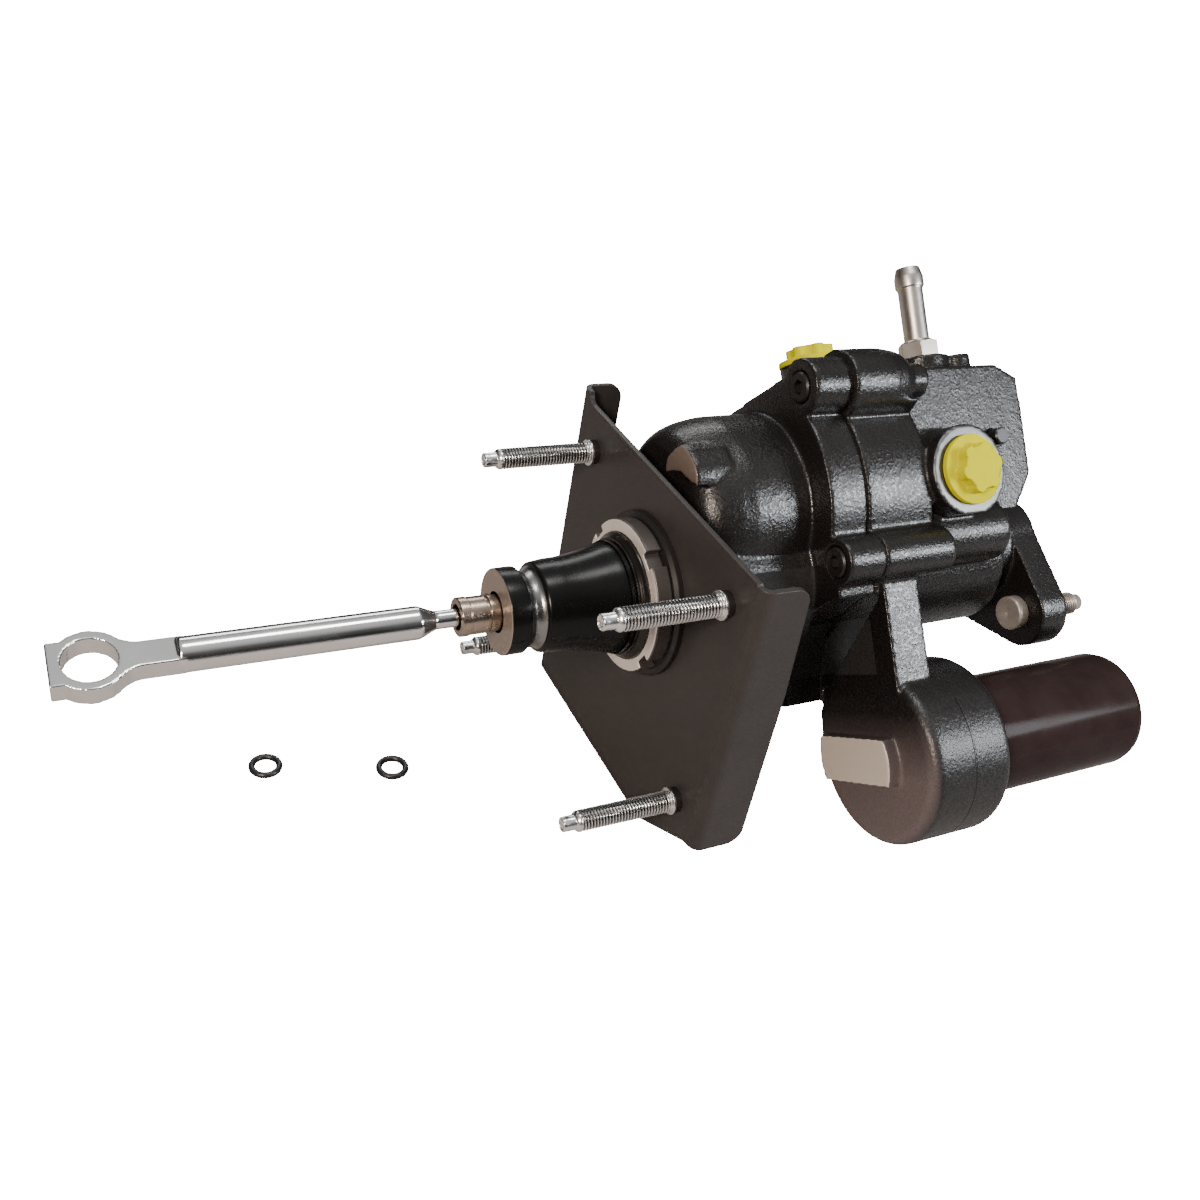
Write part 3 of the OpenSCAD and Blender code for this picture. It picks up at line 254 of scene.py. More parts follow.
def add_range(tree, value, low, high, to_low=0.0, to_high=1.0):
    """A map range node with clamped ends."""
    node = tree.nodes.new("ShaderNodeMapRange")
    tree.links.new(value, node.inputs["Value"])
    for socket, number in (("From Min", low), ("From Max", high), ("To Min", to_low), ("To Max", to_high)):
        if isinstance(number, (int, float)):
            node.inputs[socket].default_value = number
        else:
            tree.links.new(number, node.inputs[socket])
    return node.outputs[0]


# %% Slow drift of colour and gloss


def make_uneven_group():
    """A value between Low and High and a mask from 0 to 1, which drift slowly over a surface."""
    sockets = [("Scale", 60.0), ("Low", 0.3), ("High", 0.5)]
    group, start, end = new_group("uneven_finish", sockets, ["Value", "Mask"])
    noise = add_noise(group, 60.0, 6.0, 0.62)
    group.links.new(start.outputs["Scale"], noise.inputs["Scale"])
    value = add_range(group, noise.outputs["Fac"], 0.3, 0.7, start.outputs["Low"], start.outputs["High"])
    mask = add_range(group, noise.outputs["Fac"], 0.35, 0.65)
    group.links.new(value, end.inputs["Value"])
    group.links.new(mask, end.inputs["Mask"])
    return group


uneven_group = make_uneven_group()
print("group:", uneven_group.name)

# %% Sand-cast skin


def make_cast_group():
    """Height of a sand-cast skin and a mask of its grain tops."""
    sockets = [("Waves", 0.3), ("Grains", 0.095), ("Specks", 0.08)]
    group, start, end = new_group("cast_skin", sockets, ["Height", "Tops"])
    waves = add_noise(group, 190.0, 2.0)
    grains = add_noise(group, 720.0, 2.0, 0.55)
    specks = add_noise(group, 1500.0, 2.0, 0.6)
    tops = add_range(group, grains.outputs["Fac"], 0.4, 0.62)
    total = add_math(group, "MULTIPLY", waves.outputs["Fac"], start.outputs["Waves"])
    for height, amount in ((tops, "Grains"), (specks.outputs["Fac"], "Specks")):
        total = add_math(group, "ADD", total, add_math(group, "MULTIPLY", height, start.outputs[amount]))
    group.links.new(total, end.inputs["Height"])
    group.links.new(tops, end.inputs["Tops"])
    return group


cast_group = make_cast_group()
print("group:", cast_group.name)

# %% Lathe rings


def make_rings_group():
    """Height of a lathe's fine lines round the X axis: Along 1 steps them along it, Along 0 outwards."""
    sockets = [("Pitch", 0.0004), ("Along", 1.0)]
    group, start, end = new_group("lathe_rings", sockets, ["Height"])
    place = group.nodes.new("ShaderNodeTexCoord")
    split = group.nodes.new("ShaderNodeSeparateXYZ")
    group.links.new(place.outputs["Object"], split.inputs[0])
    side = split.outputs["Y"]
    rise = split.outputs["Z"]
    side_square = add_math(group, "MULTIPLY", side, side)
    rise_square = add_math(group, "MULTIPLY", rise, rise)
    radius = add_math(group, "SQRT", add_math(group, "ADD", side_square, rise_square))
    choice = group.nodes.new("ShaderNodeMix")
    group.links.new(start.outputs["Along"], choice.inputs["Factor"])
    group.links.new(radius, choice.inputs["A"])
    group.links.new(split.outputs["X"], choice.inputs["B"])
    steps = add_math(group, "DIVIDE", choice.outputs[0], start.outputs["Pitch"])
    lines = group.nodes.new("ShaderNodeTexNoise")
    lines.noise_dimensions = "1D"
    lines.inputs["Scale"].default_value = 1.0
    lines.inputs["Detail"].default_value = 2.0
    group.links.new(steps, lines.inputs["W"])
    group.links.new(lines.outputs["Fac"], end.inputs["Height"])
    return group


rings_group = make_rings_group()
print("groups:", [group.name for group in bpy.data.node_groups])

# %% [markdown]
# One helper starts every material: it sets the plain values on the Principled shader's own sockets and
# lets the roughness drift. Finishes that differ in colour over the surface mix two near tones by the
# same mask.

# %% Material helpers


def new_material(name, color, metallic, rough, tint=None, uneven_scale=60.0, specular=0.5):
    """A material whose roughness drifts between two values, and whose colour drifts to a near tint."""
    material = bpy.data.materials.new(name)
    material.use_nodes = True
    tree = material.node_tree
    shader = tree.nodes["Principled BSDF"]
    shader.inputs["Base Color"].default_value = (*color, 1.0)
    shader.inputs["Metallic"].default_value = metallic
    shader.inputs["Specular IOR Level"].default_value = specular
    uneven = tree.nodes.new("ShaderNodeGroup")
    uneven.name = "drift"
    uneven.node_tree = uneven_group
    uneven.inputs["Scale"].default_value = uneven_scale
    uneven.inputs["Low"].default_value = rough[0]
    uneven.inputs["High"].default_value = rough[1]
    tree.links.new(uneven.outputs["Value"], shader.inputs["Roughness"])
    if tint:
        mix = add_mix(tree, uneven.outputs["Mask"], color, tint)
        tree.links.new(mix, shader.inputs["Base Color"])
    return material


def add_mix(tree, factor, a, b):
    """A colour mix; a and b are sockets or colours."""
    node = tree.nodes.new("ShaderNodeMix")
    node.data_type = "RGBA"
    tree.links.new(factor, node.inputs["Factor"])
    for socket, value in (("A", a), ("B", b)):
        if isinstance(value, tuple):
            node.inputs[socket].default_value = (*value, 1.0)
        else:
            tree.links.new(value, node.inputs[socket])
    return node.outputs["Result"]


def add_bump(material, height, strength, distance):
    """Lets a height in the material push its normal."""
    tree = material.node_tree
    bump = tree.nodes.new("ShaderNodeBump")
    bump.inputs["Strength"].default_value = strength
    bump.inputs["Distance"].default_value = distance
    tree.links.new(height, bump.inputs["Height"])
    tree.links.new(bump.outputs["Normal"], tree.nodes["Principled BSDF"].inputs["Normal"])


def add_rings(material, strength, pitch=0.0004, along=1.0):
    """Lathe lines on a turned finish."""
    depth = 0.0001
    rings = material.node_tree.nodes.new("ShaderNodeGroup")
    rings.node_tree = rings_group
    for socket, value in (("Pitch", pitch), ("Along", along)):
        rings.inputs[socket].default_value = value
    add_bump(material, rings.outputs["Height"], strength, depth)


# %% [markdown]
# The castings carry black paint, but three faces on them were machined after painting: the face of the
# near port, the lug on the round bulge and the pad on the accumulator's socket. They are told apart by
# place. The booster is turned about its axis in the bracket, so the mask first turns the coordinates
# back: near points to the near side and rise up along the valve block. More masks mark the browner face
# of the socket, the seam that the mould left round it, and the dull hollows that the paint hardly
# reached.

# %% Places of the machined faces
clock = math.radians(38.0)
clock_cos = math.cos(clock)
clock_sin = math.sin(clock)
port_middle = (0.144, 0.036)
port_face_near = 0.0656
port_face_r = 0.0225
lug_middle = (0.029, 0.054)
lug_face_x = 0.0124
lug_face_r = 0.019
pad_middle = (0.0295, -0.0918)
pad_x = (0.0815, 0.0834)
pad_face_r = 0.032
brown_fade_x = (0.0945, 0.0905)
brown_fade_rise = (-0.07, -0.10)
hollow_x = (0.004, 0.0675)
hollow_top = 0.0015
web_rise = (-0.052, -0.0265)
web_end_x = 0.12
web_near = 0.047
socket_top = -0.066
socket_fade = (-0.058, -0.066)
seam_x = 0.1137
seam_fade = (0.0006, 0.0002)
print("port face radius in mm:", port_face_r / MM)

# %% Machined faces


def make_machined_group():
    """Masks by place for the port ring, lug and pad, brown face, hollows, and the socket with its seam."""
    masks = ["Bright", "Pale", "Lug", "Brown", "Hollow", "Socket", "Seam", "Port Radius"]
    group, start, end = new_group("machined_faces", [], masks)
    place = group.nodes.new("ShaderNodeTexCoord")
    split = group.nodes.new("ShaderNodeSeparateXYZ")
    group.links.new(place.outputs["Object"], split.inputs[0])
    x, y, z = split.outputs

    def times(a, b):
        """The product of two values, or the overlap of two masks."""
        return add_math(group, "MULTIPLY", a, b)

    def above(value, limit):
        """A mask that is 1 where the value is more than the limit."""
        return add_math(group, "GREATER_THAN", value, limit)

    def below(value, limit):
        """A mask that is 1 where the value is less than the limit."""
        return add_math(group, "LESS_THAN", value, limit)

    near = add_math(group, "SUBTRACT", times(z, clock_sin), times(y, clock_cos))
    rise = add_math(group, "ADD", times(y, clock_sin), times(z, clock_cos))

    def reach(a, b, point):
        """Distance from a point in the plane of a and b."""
        da = add_math(group, "SUBTRACT", a, point[0])
        db = add_math(group, "SUBTRACT", b, point[1])
        return add_math(group, "SQRT", add_math(group, "ADD", times(da, da), times(db, db)))

    port = reach(x, rise, port_middle)
    lug = times(below(x, lug_face_x), below(reach(near, rise, lug_middle), lug_face_r))
    pad = times(below(x, pad_x[1]), below(reach(near, rise, pad_middle), pad_face_r))
    pad = times(pad, above(x, pad_x[0]))
    hollow = times(below(rise, hollow_top), times(below(x, hollow_x[1]), above(x, hollow_x[0])))
    web = times(below(rise, web_rise[1]), times(below(x, web_end_x), above(rise, web_rise[0])))
    web = times(web, below(near, web_near))
    off_seam = add_math(group, "ABSOLUTE", add_math(group, "SUBTRACT", x, seam_x))
    found = {
        "Bright": times(above(near, port_face_near), below(port, port_face_r)),
        "Pale": add_math(group, "MAXIMUM", lug, pad),
        "Lug": lug,
        "Brown": times(add_range(group, x, *brown_fade_x), add_range(group, rise, *brown_fade_rise)),
        "Hollow": add_math(group, "MAXIMUM", hollow, web),
        "Socket": add_range(group, rise, *socket_fade),
        "Seam": times(add_range(group, off_seam, *seam_fade), below(rise, socket_top)),
        "Port Radius": port}
    for mask in masks:
        group.links.new(found[mask], end.inputs[mask])
    return group


machined_group = make_machined_group()
print("group:", machined_group.name)

# %% [markdown]
# Cast paint: almost black, glossy enough for a bright speckle where it faces the lights. The grain is a
# bump, with the tops a little browner and glossier: partly because paint thins there, partly as a
# painted highlight on each grain. The machined faces swap colour, metal and gloss through their masks,
# and lose the grain; the lug's face gets a darker tan, a painted shade for the bracket's shadow.

# %% Cast paint colours
paint_black = (0.0045, 0.0042, 0.0042)
# Grain tops: partly worn paint, partly a painted highlight that lights up each grain.
paint_wear_and_glint = (0.013, 0.0105, 0.010)
paint_brown = (0.115, 0.090, 0.090)
face_bright = (0.15, 0.15, 0.15)
face_pale = (0.72, 0.64, 0.55)
# The lug's face is a darker tan than the pad: painted shade for the bracket's shadow on it.
lug_painted_shade = (0.20, 0.155, 0.13)
seam_black = (0.0, 0.0, 0.0)
cast_paint = new_material("cast_paint", paint_black, 0.0, (0.17, 0.25), uneven_scale=45.0)
cast_tree = cast_paint.node_tree
cast_shader = cast_tree.nodes["Principled BSDF"]
cast_skin = cast_tree.nodes.new("ShaderNodeGroup")
cast_skin.node_tree = cast_group
faces = cast_tree.nodes.new("ShaderNodeGroup")
faces.node_tree = machined_group
skin_color = add_mix(cast_tree, cast_skin.outputs["Tops"], paint_black, paint_wear_and_glint)
for mask, mask_color in (
        ("Brown", paint_brown), ("Bright", face_bright), ("Pale", face_pale), ("Lug", lug_painted_shade),
        ("Seam", seam_black)):
    skin_color = add_mix(cast_tree, faces.outputs[mask], skin_color, mask_color)
cast_tree.links.new(skin_color, cast_shader.inputs["Base Color"])
print("cast paint masks:", len(faces.outputs))

# %% Cast paint gloss
pale_metal = add_math(cast_tree, "MULTIPLY", faces.outputs["Pale"], 0.3)
face_metal = add_math(cast_tree, "ADD", faces.outputs["Bright"], pale_metal)
cast_tree.links.new(face_metal, cast_shader.inputs["Metallic"])
any_face = add_math(cast_tree, "MAXIMUM", faces.outputs["Bright"], faces.outputs["Pale"])
pits = add_math(cast_tree, "SUBTRACT", 1.0, cast_skin.outputs["Tops"])
pit_dullness = add_math(cast_tree, "MULTIPLY", pits, 0.18)
gloss = add_math(cast_tree, "ADD", cast_tree.nodes["drift"].outputs["Value"], pit_dullness)
least_roughness = (
    (any_face, 0.42),
    (faces.outputs["Hollow"], 0.8),
    (faces.outputs["Brown"], 0.45),
    (faces.outputs["Socket"], 0.38))
for mask, least in least_roughness:
    gloss = add_math(cast_tree, "MAXIMUM", gloss, add_math(cast_tree, "MULTIPLY", mask, least))
cast_tree.links.new(gloss, cast_shader.inputs["Roughness"])
print("rougher places:", len(least_roughness))

# %% Cast paint relief
face_rings = cast_tree.nodes.new("ShaderNodeTexNoise")
face_rings.noise_dimensions = "1D"
face_rings.inputs["Scale"].default_value = 3500.0
cast_tree.links.new(faces.outputs["Port Radius"], face_rings.inputs["W"])
ring_share = add_math(cast_tree, "MULTIPLY", faces.outputs["Bright"], 0.05)
ring_height = add_math(cast_tree, "MULTIPLY", face_rings.outputs["Fac"], ring_share)
painted = add_math(cast_tree, "SUBTRACT", 1.0, any_face)
skin_height = add_math(cast_tree, "MULTIPLY", cast_skin.outputs["Height"], painted)
seam_depth = add_math(cast_tree, "MULTIPLY", faces.outputs["Seam"], 0.6)
skin_height = add_math(cast_tree, "SUBTRACT", skin_height, seam_depth)
add_bump(cast_paint, add_math(cast_tree, "ADD", skin_height, ring_height), 1.0, 0.0006)
print("cast paint nodes:", len(cast_tree.nodes))

# %% Other finishes
bracket_paint = new_material(
    "bracket_paint", (0.034, 0.030, 0.029), 0.0, (0.36, 0.44), tint=(0.040, 0.035, 0.034), specular=0.25)
stud_zinc = new_material("stud_zinc", (0.92, 0.92, 0.91), 1.0, (0.2, 0.3))
nut_steel = new_material("nut_steel", (0.86, 0.79, 0.73), 0.5, (0.3, 0.42))
washer_steel = new_material("washer_steel", (0.012, 0.0105, 0.010), 0.2, (0.34, 0.46))
seal_rubber = new_material("seal_rubber", (0.010, 0.010, 0.010), 0.0, (0.3, 0.42))
dark_bolt = new_material("dark_bolt", (0.008, 0.0072, 0.007), 0.0, (0.34, 0.46))
dull_stud = new_material("dull_stud", (0.52, 0.47, 0.42), 0.6, (0.34, 0.5), tint=(0.42, 0.375, 0.33))
pushrod_chrome = new_material("pushrod_chrome", (0.90, 0.90, 0.89), 1.0, (0.1, 0.2), tint=(0.84, 0.83, 0.82))
socket_bronze = new_material("socket_bronze", (0.50, 0.40, 0.32), 1.0, (0.2, 0.34), tint=(0.38, 0.30, 0.24))
inner_steel = new_material("inner_steel", (0.5, 0.5, 0.5), 1.0, (0.25, 0.4))
spring_steel = new_material("spring_steel", (0.3, 0.3, 0.31), 1.0, (0.3, 0.45))
yellow_cap = new_material(
    "yellow_cap", (0.64, 0.61, 0.0), 0.0, (0.5, 0.6), tint=(0.60, 0.57, 0.0), specular=0.0)
fitting_zinc = new_material("fitting_zinc", (0.70, 0.66, 0.61), 1.0, (0.26, 0.4), tint=(0.6, 0.56, 0.51))
can_lacquer = new_material(
    "can_lacquer", (0.022, 0.0135, 0.013), 0.0, (0.12, 0.2), tint=(0.029, 0.0185, 0.0175), specular=0.03)
add_rings(socket_bronze, 0.2)
fine_grain = add_noise(bracket_paint.node_tree, 2600.0, 2.0)
add_bump(bracket_paint, fine_grain.outputs["Fac"], 0.12, 0.0001)

# %% [markdown]
# Several turned pieces change their finish along the axis: the nut has a bare face and dark flanks, the
# studs are black behind their collar, and the snout is glossy black paint with a bare front face, a bare
# boot groove and bare rings before the nut. Each is a band along X, so one mask with two stations does
# for all of them.

# %% Bands along the axis


def band(tree, low, high):
    """A mask that is 1 between two stations along X, given in millimetres."""
    place = tree.nodes.new("ShaderNodeTexCoord")
    split = tree.nodes.new("ShaderNodeSeparateXYZ")
    tree.links.new(place.outputs["Object"], split.inputs[0])
    above = add_math(tree, "GREATER_THAN", split.outputs["X"], low * MM)
    below = add_math(tree, "LESS_THAN", split.outputs["X"], high * MM)
    return add_math(tree, "MULTIPLY", above, below)


def recolor(material, mask, color, metallic=None):
    """Lays a second colour over a material where the mask is 1, and its own share of metal."""
    tree = material.node_tree
    shader = tree.nodes["Principled BSDF"]
    base = shader.inputs["Base Color"]
    under = base.links[0].from_socket if base.links else tuple(base.default_value)[:3]
    tree.links.new(add_mix(tree, mask, under, color), base)
    if metallic is not None:
        metal = shader.inputs["Metallic"]
        share = metal.links[0].from_socket if metal.links else metal.default_value
        left = add_math(tree, "MULTIPLY", add_math(tree, "SUBTRACT", 1.0, mask), share)
        tree.links.new(add_math(tree, "ADD", left, add_math(tree, "MULTIPLY", mask, metallic)), metal)


# %% Nut and studs
nut_flanks = (-11.5, 10.0)
behind_collar = (-2.95, 20.0)
recolor(nut_steel, band(nut_steel.node_tree, *nut_flanks), (0.10, 0.09, 0.085), 0.6)
add_rings(nut_steel, 0.25, along=0.0)
recolor(stud_zinc, band(stud_zinc.node_tree, *behind_collar), (0.02, 0.018, 0.017), 0.2)
# Thread roots are darkened by how deep they lie: painted shade in the valleys of the thread.
for thread_metal, root_painted_shade in ((stud_zinc, (0.02, 0.02, 0.02)), (dull_stud, (0.06, 0.05, 0.045))):
    thread_tree = thread_metal.node_tree
    thread_root_shade = thread_tree.nodes.new("ShaderNodeAttribute")
    thread_root_shade.attribute_name = "thread_root_shade"
    recolor(thread_metal, thread_root_shade.outputs["Fac"], root_painted_shade)
print("bands laid")

# %% Snout finish
snout_paint = new_material(
    "snout_paint", (0.004, 0.004, 0.004), 0.0, (0.2, 0.3), uneven_scale=90.0, specular=0.22)
snout_tree = snout_paint.node_tree
for low, high, color, metallic in (
        (-63.2, -56.2, (0.30, 0.30, 0.295), 1.0),
        (-16.4, 5.0, (0.04, 0.036, 0.033), 0.8),
        (-80.0, -72.6, (0.33, 0.275, 0.235), 0.6)):
    recolor(snout_paint, band(snout_tree, low, high), color, metallic)
add_rings(snout_paint, 0.35, pitch=0.0005)
print("snout finish nodes:", len(snout_tree.nodes))

# %% Finishes on the CAD nodes
finishes = {material.name: material for material in bpy.data.materials}
slot_of = {row["node"]: row["material_slot"] for row in frame["record"]["subparts"]}
for node_name, node_object in nodes.items():
    node_object.data.materials.clear()
    node_object.data.materials.append(finishes[slot_of[node_name]])
print("materials:", len(finishes))

# %% [markdown]
# Modelling starts here. Operators act on whatever is selected, so one helper selects a single object
# first. A copy of a CAD node comes in as loose triangles: it is merged before anything else, or no edge
# would have two faces.

# %% Modelling helpers
node_gap = 0.000004
point_gap = 0.000002
flat_angle = math.radians(0.3)


def only(thing):
    """Selects one object and makes it active."""
    bpy.ops.object.select_all(action="DESELECT")
    thing.select_set(True)
    bpy.context.view_layer.objects.active = thing
    return thing


def apply_modifier(thing, kind, **settings):
    """Adds one modifier, sets it up and applies it."""
    only(thing)
    bpy.ops.object.modifier_add(type=kind)
    modifier = thing.modifiers[-1]
    for key, value in settings.items():
        setattr(modifier, key, value)
    bpy.ops.object.modifier_apply(modifier=modifier.name)


def edit_all(thing):
    """Enters edit mode with everything selected."""
    only(thing)
    bpy.ops.object.mode_set(mode="EDIT")
    bpy.ops.mesh.select_all(action="SELECT")


def leave_edit():
    """Goes back to object mode."""
    bpy.ops.object.mode_set(mode="OBJECT")


def smooth(thing, degrees=30.0):
    """Smooth shading, kept crisp at sharper edges than this."""
    only(thing)
    bpy.ops.object.shade_smooth_by_angle(angle=math.radians(degrees))


def copy_of_node(node_name, piece_name):
    """A merged copy of a CAD node, free to be shaped."""
    only(nodes[node_name])
    bpy.ops.object.duplicate()
    piece = bpy.context.object
    piece.parent = None
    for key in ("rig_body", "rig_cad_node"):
        del piece[key]
    piece.name = piece_name
    edit_all(piece)
    bpy.ops.mesh.remove_doubles(threshold=node_gap)
    bpy.ops.mesh.dissolve_limited(angle_limit=flat_angle)
    leave_edit()
    return piece


def hand_over(piece, body, material, *replaced):
    """Gives a finished piece its material and its body, and hides the nodes that it stands for."""
    piece.data.materials.clear()
    piece.data.materials.append(finishes[material])
    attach(piece, body)
    if replaced:
        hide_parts(*replaced)
    print(piece.name, "faces:", len(piece.data.polygons))


# %% [markdown]
# The two castings. A foundry can't make a sharp edge: every corner is round and every hollow has a
# fillet. The CAD solids have sharp ones, because they are built from plain cylinders and slabs. Rounding
# hundreds of such edges with a bevel tends to break, so the shape is rebuilt by a voxel remesh and then
# smoothed, which rounds corners and fills hollows alike. The casting is turned upright first, so that
# its flat faces lie square to the voxels. A vertex group holds the smoothing back at the joint and at
# the machined faces, which are crisp on the real part. The bore that the input socket slides in is
# pushed back to its size afterwards, because smoothing closes it a little.

# %% Castings


def turn_about_x(piece, angle):
    """Turns a piece about the booster's axis, in its mesh."""
    only(piece)
    piece.rotation_euler = (angle, 0.0, 0.0)
    bpy.ops.object.transform_apply(location=False, rotation=True, scale=False)


def cut_below_x(piece, x):
    """Cuts away what lies below x and closes the cut."""
    edit_all(piece)
    bpy.ops.mesh.bisect(plane_co=(x, 0.0, 0.0), plane_no=(1.0, 0.0, 0.0), use_fill=True, clear_inner=True)
    leave_edit()


joint_x = 88.0
joint_crisp = 1.5
joint_fade = 3.0


def softness(x, near, rise):
    """How far a casting is smoothed at a place in millimetres: machined faces and the joint stay crisp."""
    at_port = near > 63.0 and math.hypot(x - 144.0, rise - 36.0) < 25.0
    at_lug = x < 14.0 and 12.0 < near < 46.0 and 38.0 < rise < 68.0
    at_pad = 80.0 < x < 86.0 and rise < -75.0
    if at_port or at_lug or at_pad:
        return 0.0
    return min(1.0, max(0.0, (abs(x - joint_x) - joint_crisp) / joint_fade))


def mark_softness(piece):
    """Writes the softness of each vertex into a vertex group, in ten steps."""
    group = piece.vertex_groups.new(name="soft")
    steps = {}
    for vertex in piece.data.vertices:
        x, y, z = (value / MM for value in vertex.co)
        steps.setdefault(round(softness(x, -y, z) * 10), []).append(vertex.index)
    for step, members in steps.items():
        group.add(members, step / 10, "REPLACE")


def make_casting(node_name, piece_name, voxel, rounds, keep_share, start_x=None):
    """A casting with soft edges from a sharp CAD node."""
    piece = copy_of_node(node_name, piece_name)
    turn_about_x(piece, clock)
    if start_x is not None:
        cut_below_x(piece, start_x)
    apply_modifier(piece, "REMESH", mode="VOXEL", voxel_size=voxel)
    mark_softness(piece)
    apply_modifier(piece, "SMOOTH", factor=0.5, iterations=rounds, vertex_group="soft")
    print(piece_name, "faces before thinning:", len(piece.data.polygons))
    apply_modifier(piece, "DECIMATE", ratio=keep_share)
    turn_about_x(piece, -clock)
    only(piece)
    bpy.ops.object.shade_smooth()
    return piece


cast_voxel = 0.001
cast_rounds = 6
cover_start_x = -0.006
bore_end_x = 0.0042
bore_clear_r = 0.0083
bore_edge_r = 0.0095
cover_casting = make_casting("cover", "cover_casting", cast_voxel, cast_rounds, 0.7, start_x=cover_start_x)
for vertex in cover_casting.data.vertices:
    bore_radius = math.hypot(vertex.co.y, vertex.co.z)
    if vertex.co.x < bore_end_x and 0.001 < bore_radius < bore_edge_r:
        vertex.co.y *= bore_clear_r / bore_radius
        vertex.co.z *= bore_clear_r / bore_radius
hand_over(cover_casting, "root", "cast_paint", "cover")
housing_casting = make_casting("housing", "housing_casting", cast_voxel, cast_rounds, 0.45)
hand_over(housing_casting, "root", "cast_paint", "housing")

# %% [markdown]
# The snout is part of the cover, but it was turned on a lathe, so its lip, groove and thread are crisp.
# It is made as a lathe makes it: one point is extruded from place to place to draw half a section, and
# that line is spun once about the axis.

# %% Turned pieces


def drawn_line(name, points):
    """A new object with a line of edges through points in metres, left selected in edit mode."""
    bpy.ops.object.select_all(action="DESELECT")
    bpy.ops.mesh.primitive_plane_add(size=MM, calc_uvs=False, location=(0.0, 0.0, 0.0))
    line = bpy.context.object
    line.name = name
    line.data.name = name
    edit_all(line)
    bpy.ops.mesh.merge(type="CENTER")
    bpy.ops.transform.translate(value=points[0])
    for here, there in zip(points, points[1:]):
        step = [b - a for a, b in zip(here, there)]
        bpy.ops.mesh.extrude_region_move(TRANSFORM_OT_translate={"value": step})
    bpy.ops.mesh.select_all(action="SELECT")
    bpy.ops.mesh.remove_doubles(threshold=point_gap)
    return line


def turned_piece(name, profile, sides=64):
    """A closed body spun about X from (x, radius) points in millimetres."""
    points = [(x * MM, 0.0, radius * MM) for x, radius in profile]
    if profile[0][1] > 0.0:
        points.append(points[0])
    piece = drawn_line(name, points)
    bpy.ops.mesh.spin(steps=sides, angle=math.tau, center=(0.0, 0.0, 0.0), axis=(1.0, 0.0, 0.0))
    bpy.ops.mesh.select_all(action="SELECT")
    bpy.ops.mesh.remove_doubles(threshold=point_gap)
    bpy.ops.mesh.normals_make_consistent(inside=False)
    leave_edit()
    return piece


def arc(cx, cr, radius, start, end, steps=6):
    """Points of a round corner in the section: angles in degrees from +x towards +radius."""
    angles = [math.radians(start + (end - start) * i / steps) for i in range(steps + 1)]
    return [(cx + radius * math.cos(a), cr + radius * math.sin(a)) for a in angles]


# %% Snout
snout_end = -73.0
snout_back = -4.0
mouth_r = 9.3
bore_r = 8.06
bore_step_x = -41.7
lip_radius = 19.4
lip_front = 0.9
lip_back = 0.7
groove_start = snout_end + 9.4
groove_half = 3.8
groove_middle = groove_start + groove_half
groove_floor = 17.0
groove_depth = 1.8
flare_steps = 14
flare_from = -48.0
flare_to = -14.0
flare_r = 21.1
flare_rise = 6.8
ring_depth = 0.6
snout_r = 29.5
snout_profile = [(snout_end, mouth_r)]
snout_profile += arc(snout_end + lip_front, lip_radius - lip_front, lip_front, 180, 90)
snout_profile += arc(groove_start - lip_back, lip_radius - lip_back, lip_back, 90, 0)
for i in range(9):
    angle = math.radians(-60.0 + 15.0 * i)
    sink = (1.0 - math.cos(angle)) / 0.5
    along = groove_half * math.sin(angle) / math.sin(math.radians(60))
    snout_profile.append((groove_middle + along, groove_floor + groove_depth * sink))
snout_profile += [(-56.0, 19.3), (-55.6, 19.9), (-55.0, 20.3), (-54.0, 20.45)]
for i in range(flare_steps + 1):
    share = i / flare_steps
    snout_profile.append((flare_from + (flare_to - flare_from) * share, flare_r + flare_rise * share ** 2))
for ring_x in (-18.6, -16.9, -15.4):
    spot = max(i for i, point in enumerate(snout_profile) if point[0] < ring_x - 0.4)
    height = snout_profile[spot][1]
    ring = [(ring_x - 0.35, height), (ring_x - 0.25, height - ring_depth)]
    ring += [(ring_x + 0.25, height - ring_depth), (ring_x + 0.35, height)]
    snout_profile[spot + 1:spot + 1] = ring
snout_profile += [(-13.4, 28.6), (-13.0, 29.3), (-12.4, snout_r), (snout_back, snout_r)]
snout_profile += [(snout_back, bore_r), (bore_step_x, bore_r), (bore_step_x, mouth_r)]
snout = turned_piece("snout", snout_profile, 96)
smooth(snout, 35.0)
hand_over(snout, "root", "snout_paint", "cover")

# %% [markdown]
# The firewall studs show real threads, so they get real ones. The stud's section is spun as before, but
# with many rings close together. Each point is then pushed inwards by how far it lies from the thread's
# crest, which climbs one pitch for each turn. The thread fades out at both ends, as rolled threads do.
# How deep each point lies is kept as well, and the material paints shade into the roots by it.

# %% Threads
thread_pitch = 1.5
thread_depth = 0.85


def cut_thread(piece, start, end, pitch, depth, least_radius):
    """Presses a thread into a turned piece between two stations in millimetres, and marks its roots for
    painted shade.
    """
    # The depth share goes into an attribute, which the material reads to paint shade into the roots.
    root = piece.data.attributes.new("thread_root_shade", "FLOAT", "POINT")
    for vertex in piece.data.vertices:
        x, y, z = (value / MM for value in vertex.co)
        radius = math.hypot(y, z)
        if start < x < end and radius > least_radius:
            phase = (x / pitch - math.atan2(z, y) / math.tau) % 1.0
            away = abs(phase - 0.5) * 2.0
            fade = min(1.0, (x - start) / pitch, (end - x) / pitch)
            share = fade * min(1.0, max(0.0, (away - 0.15) / 0.65))
            vertex.co.y *= (radius - depth * share) / radius
            vertex.co.z *= (radius - depth * share) / radius
            root.data[vertex.index].value = share


def thread_rings(start, end, radius, pitch, per_pitch=8):
    """Points along a thread, close enough to carry it."""
    count = int((end - start) / pitch * per_pitch)
    return [(start + (end - start) * i / count, radius) for i in range(count + 1)]


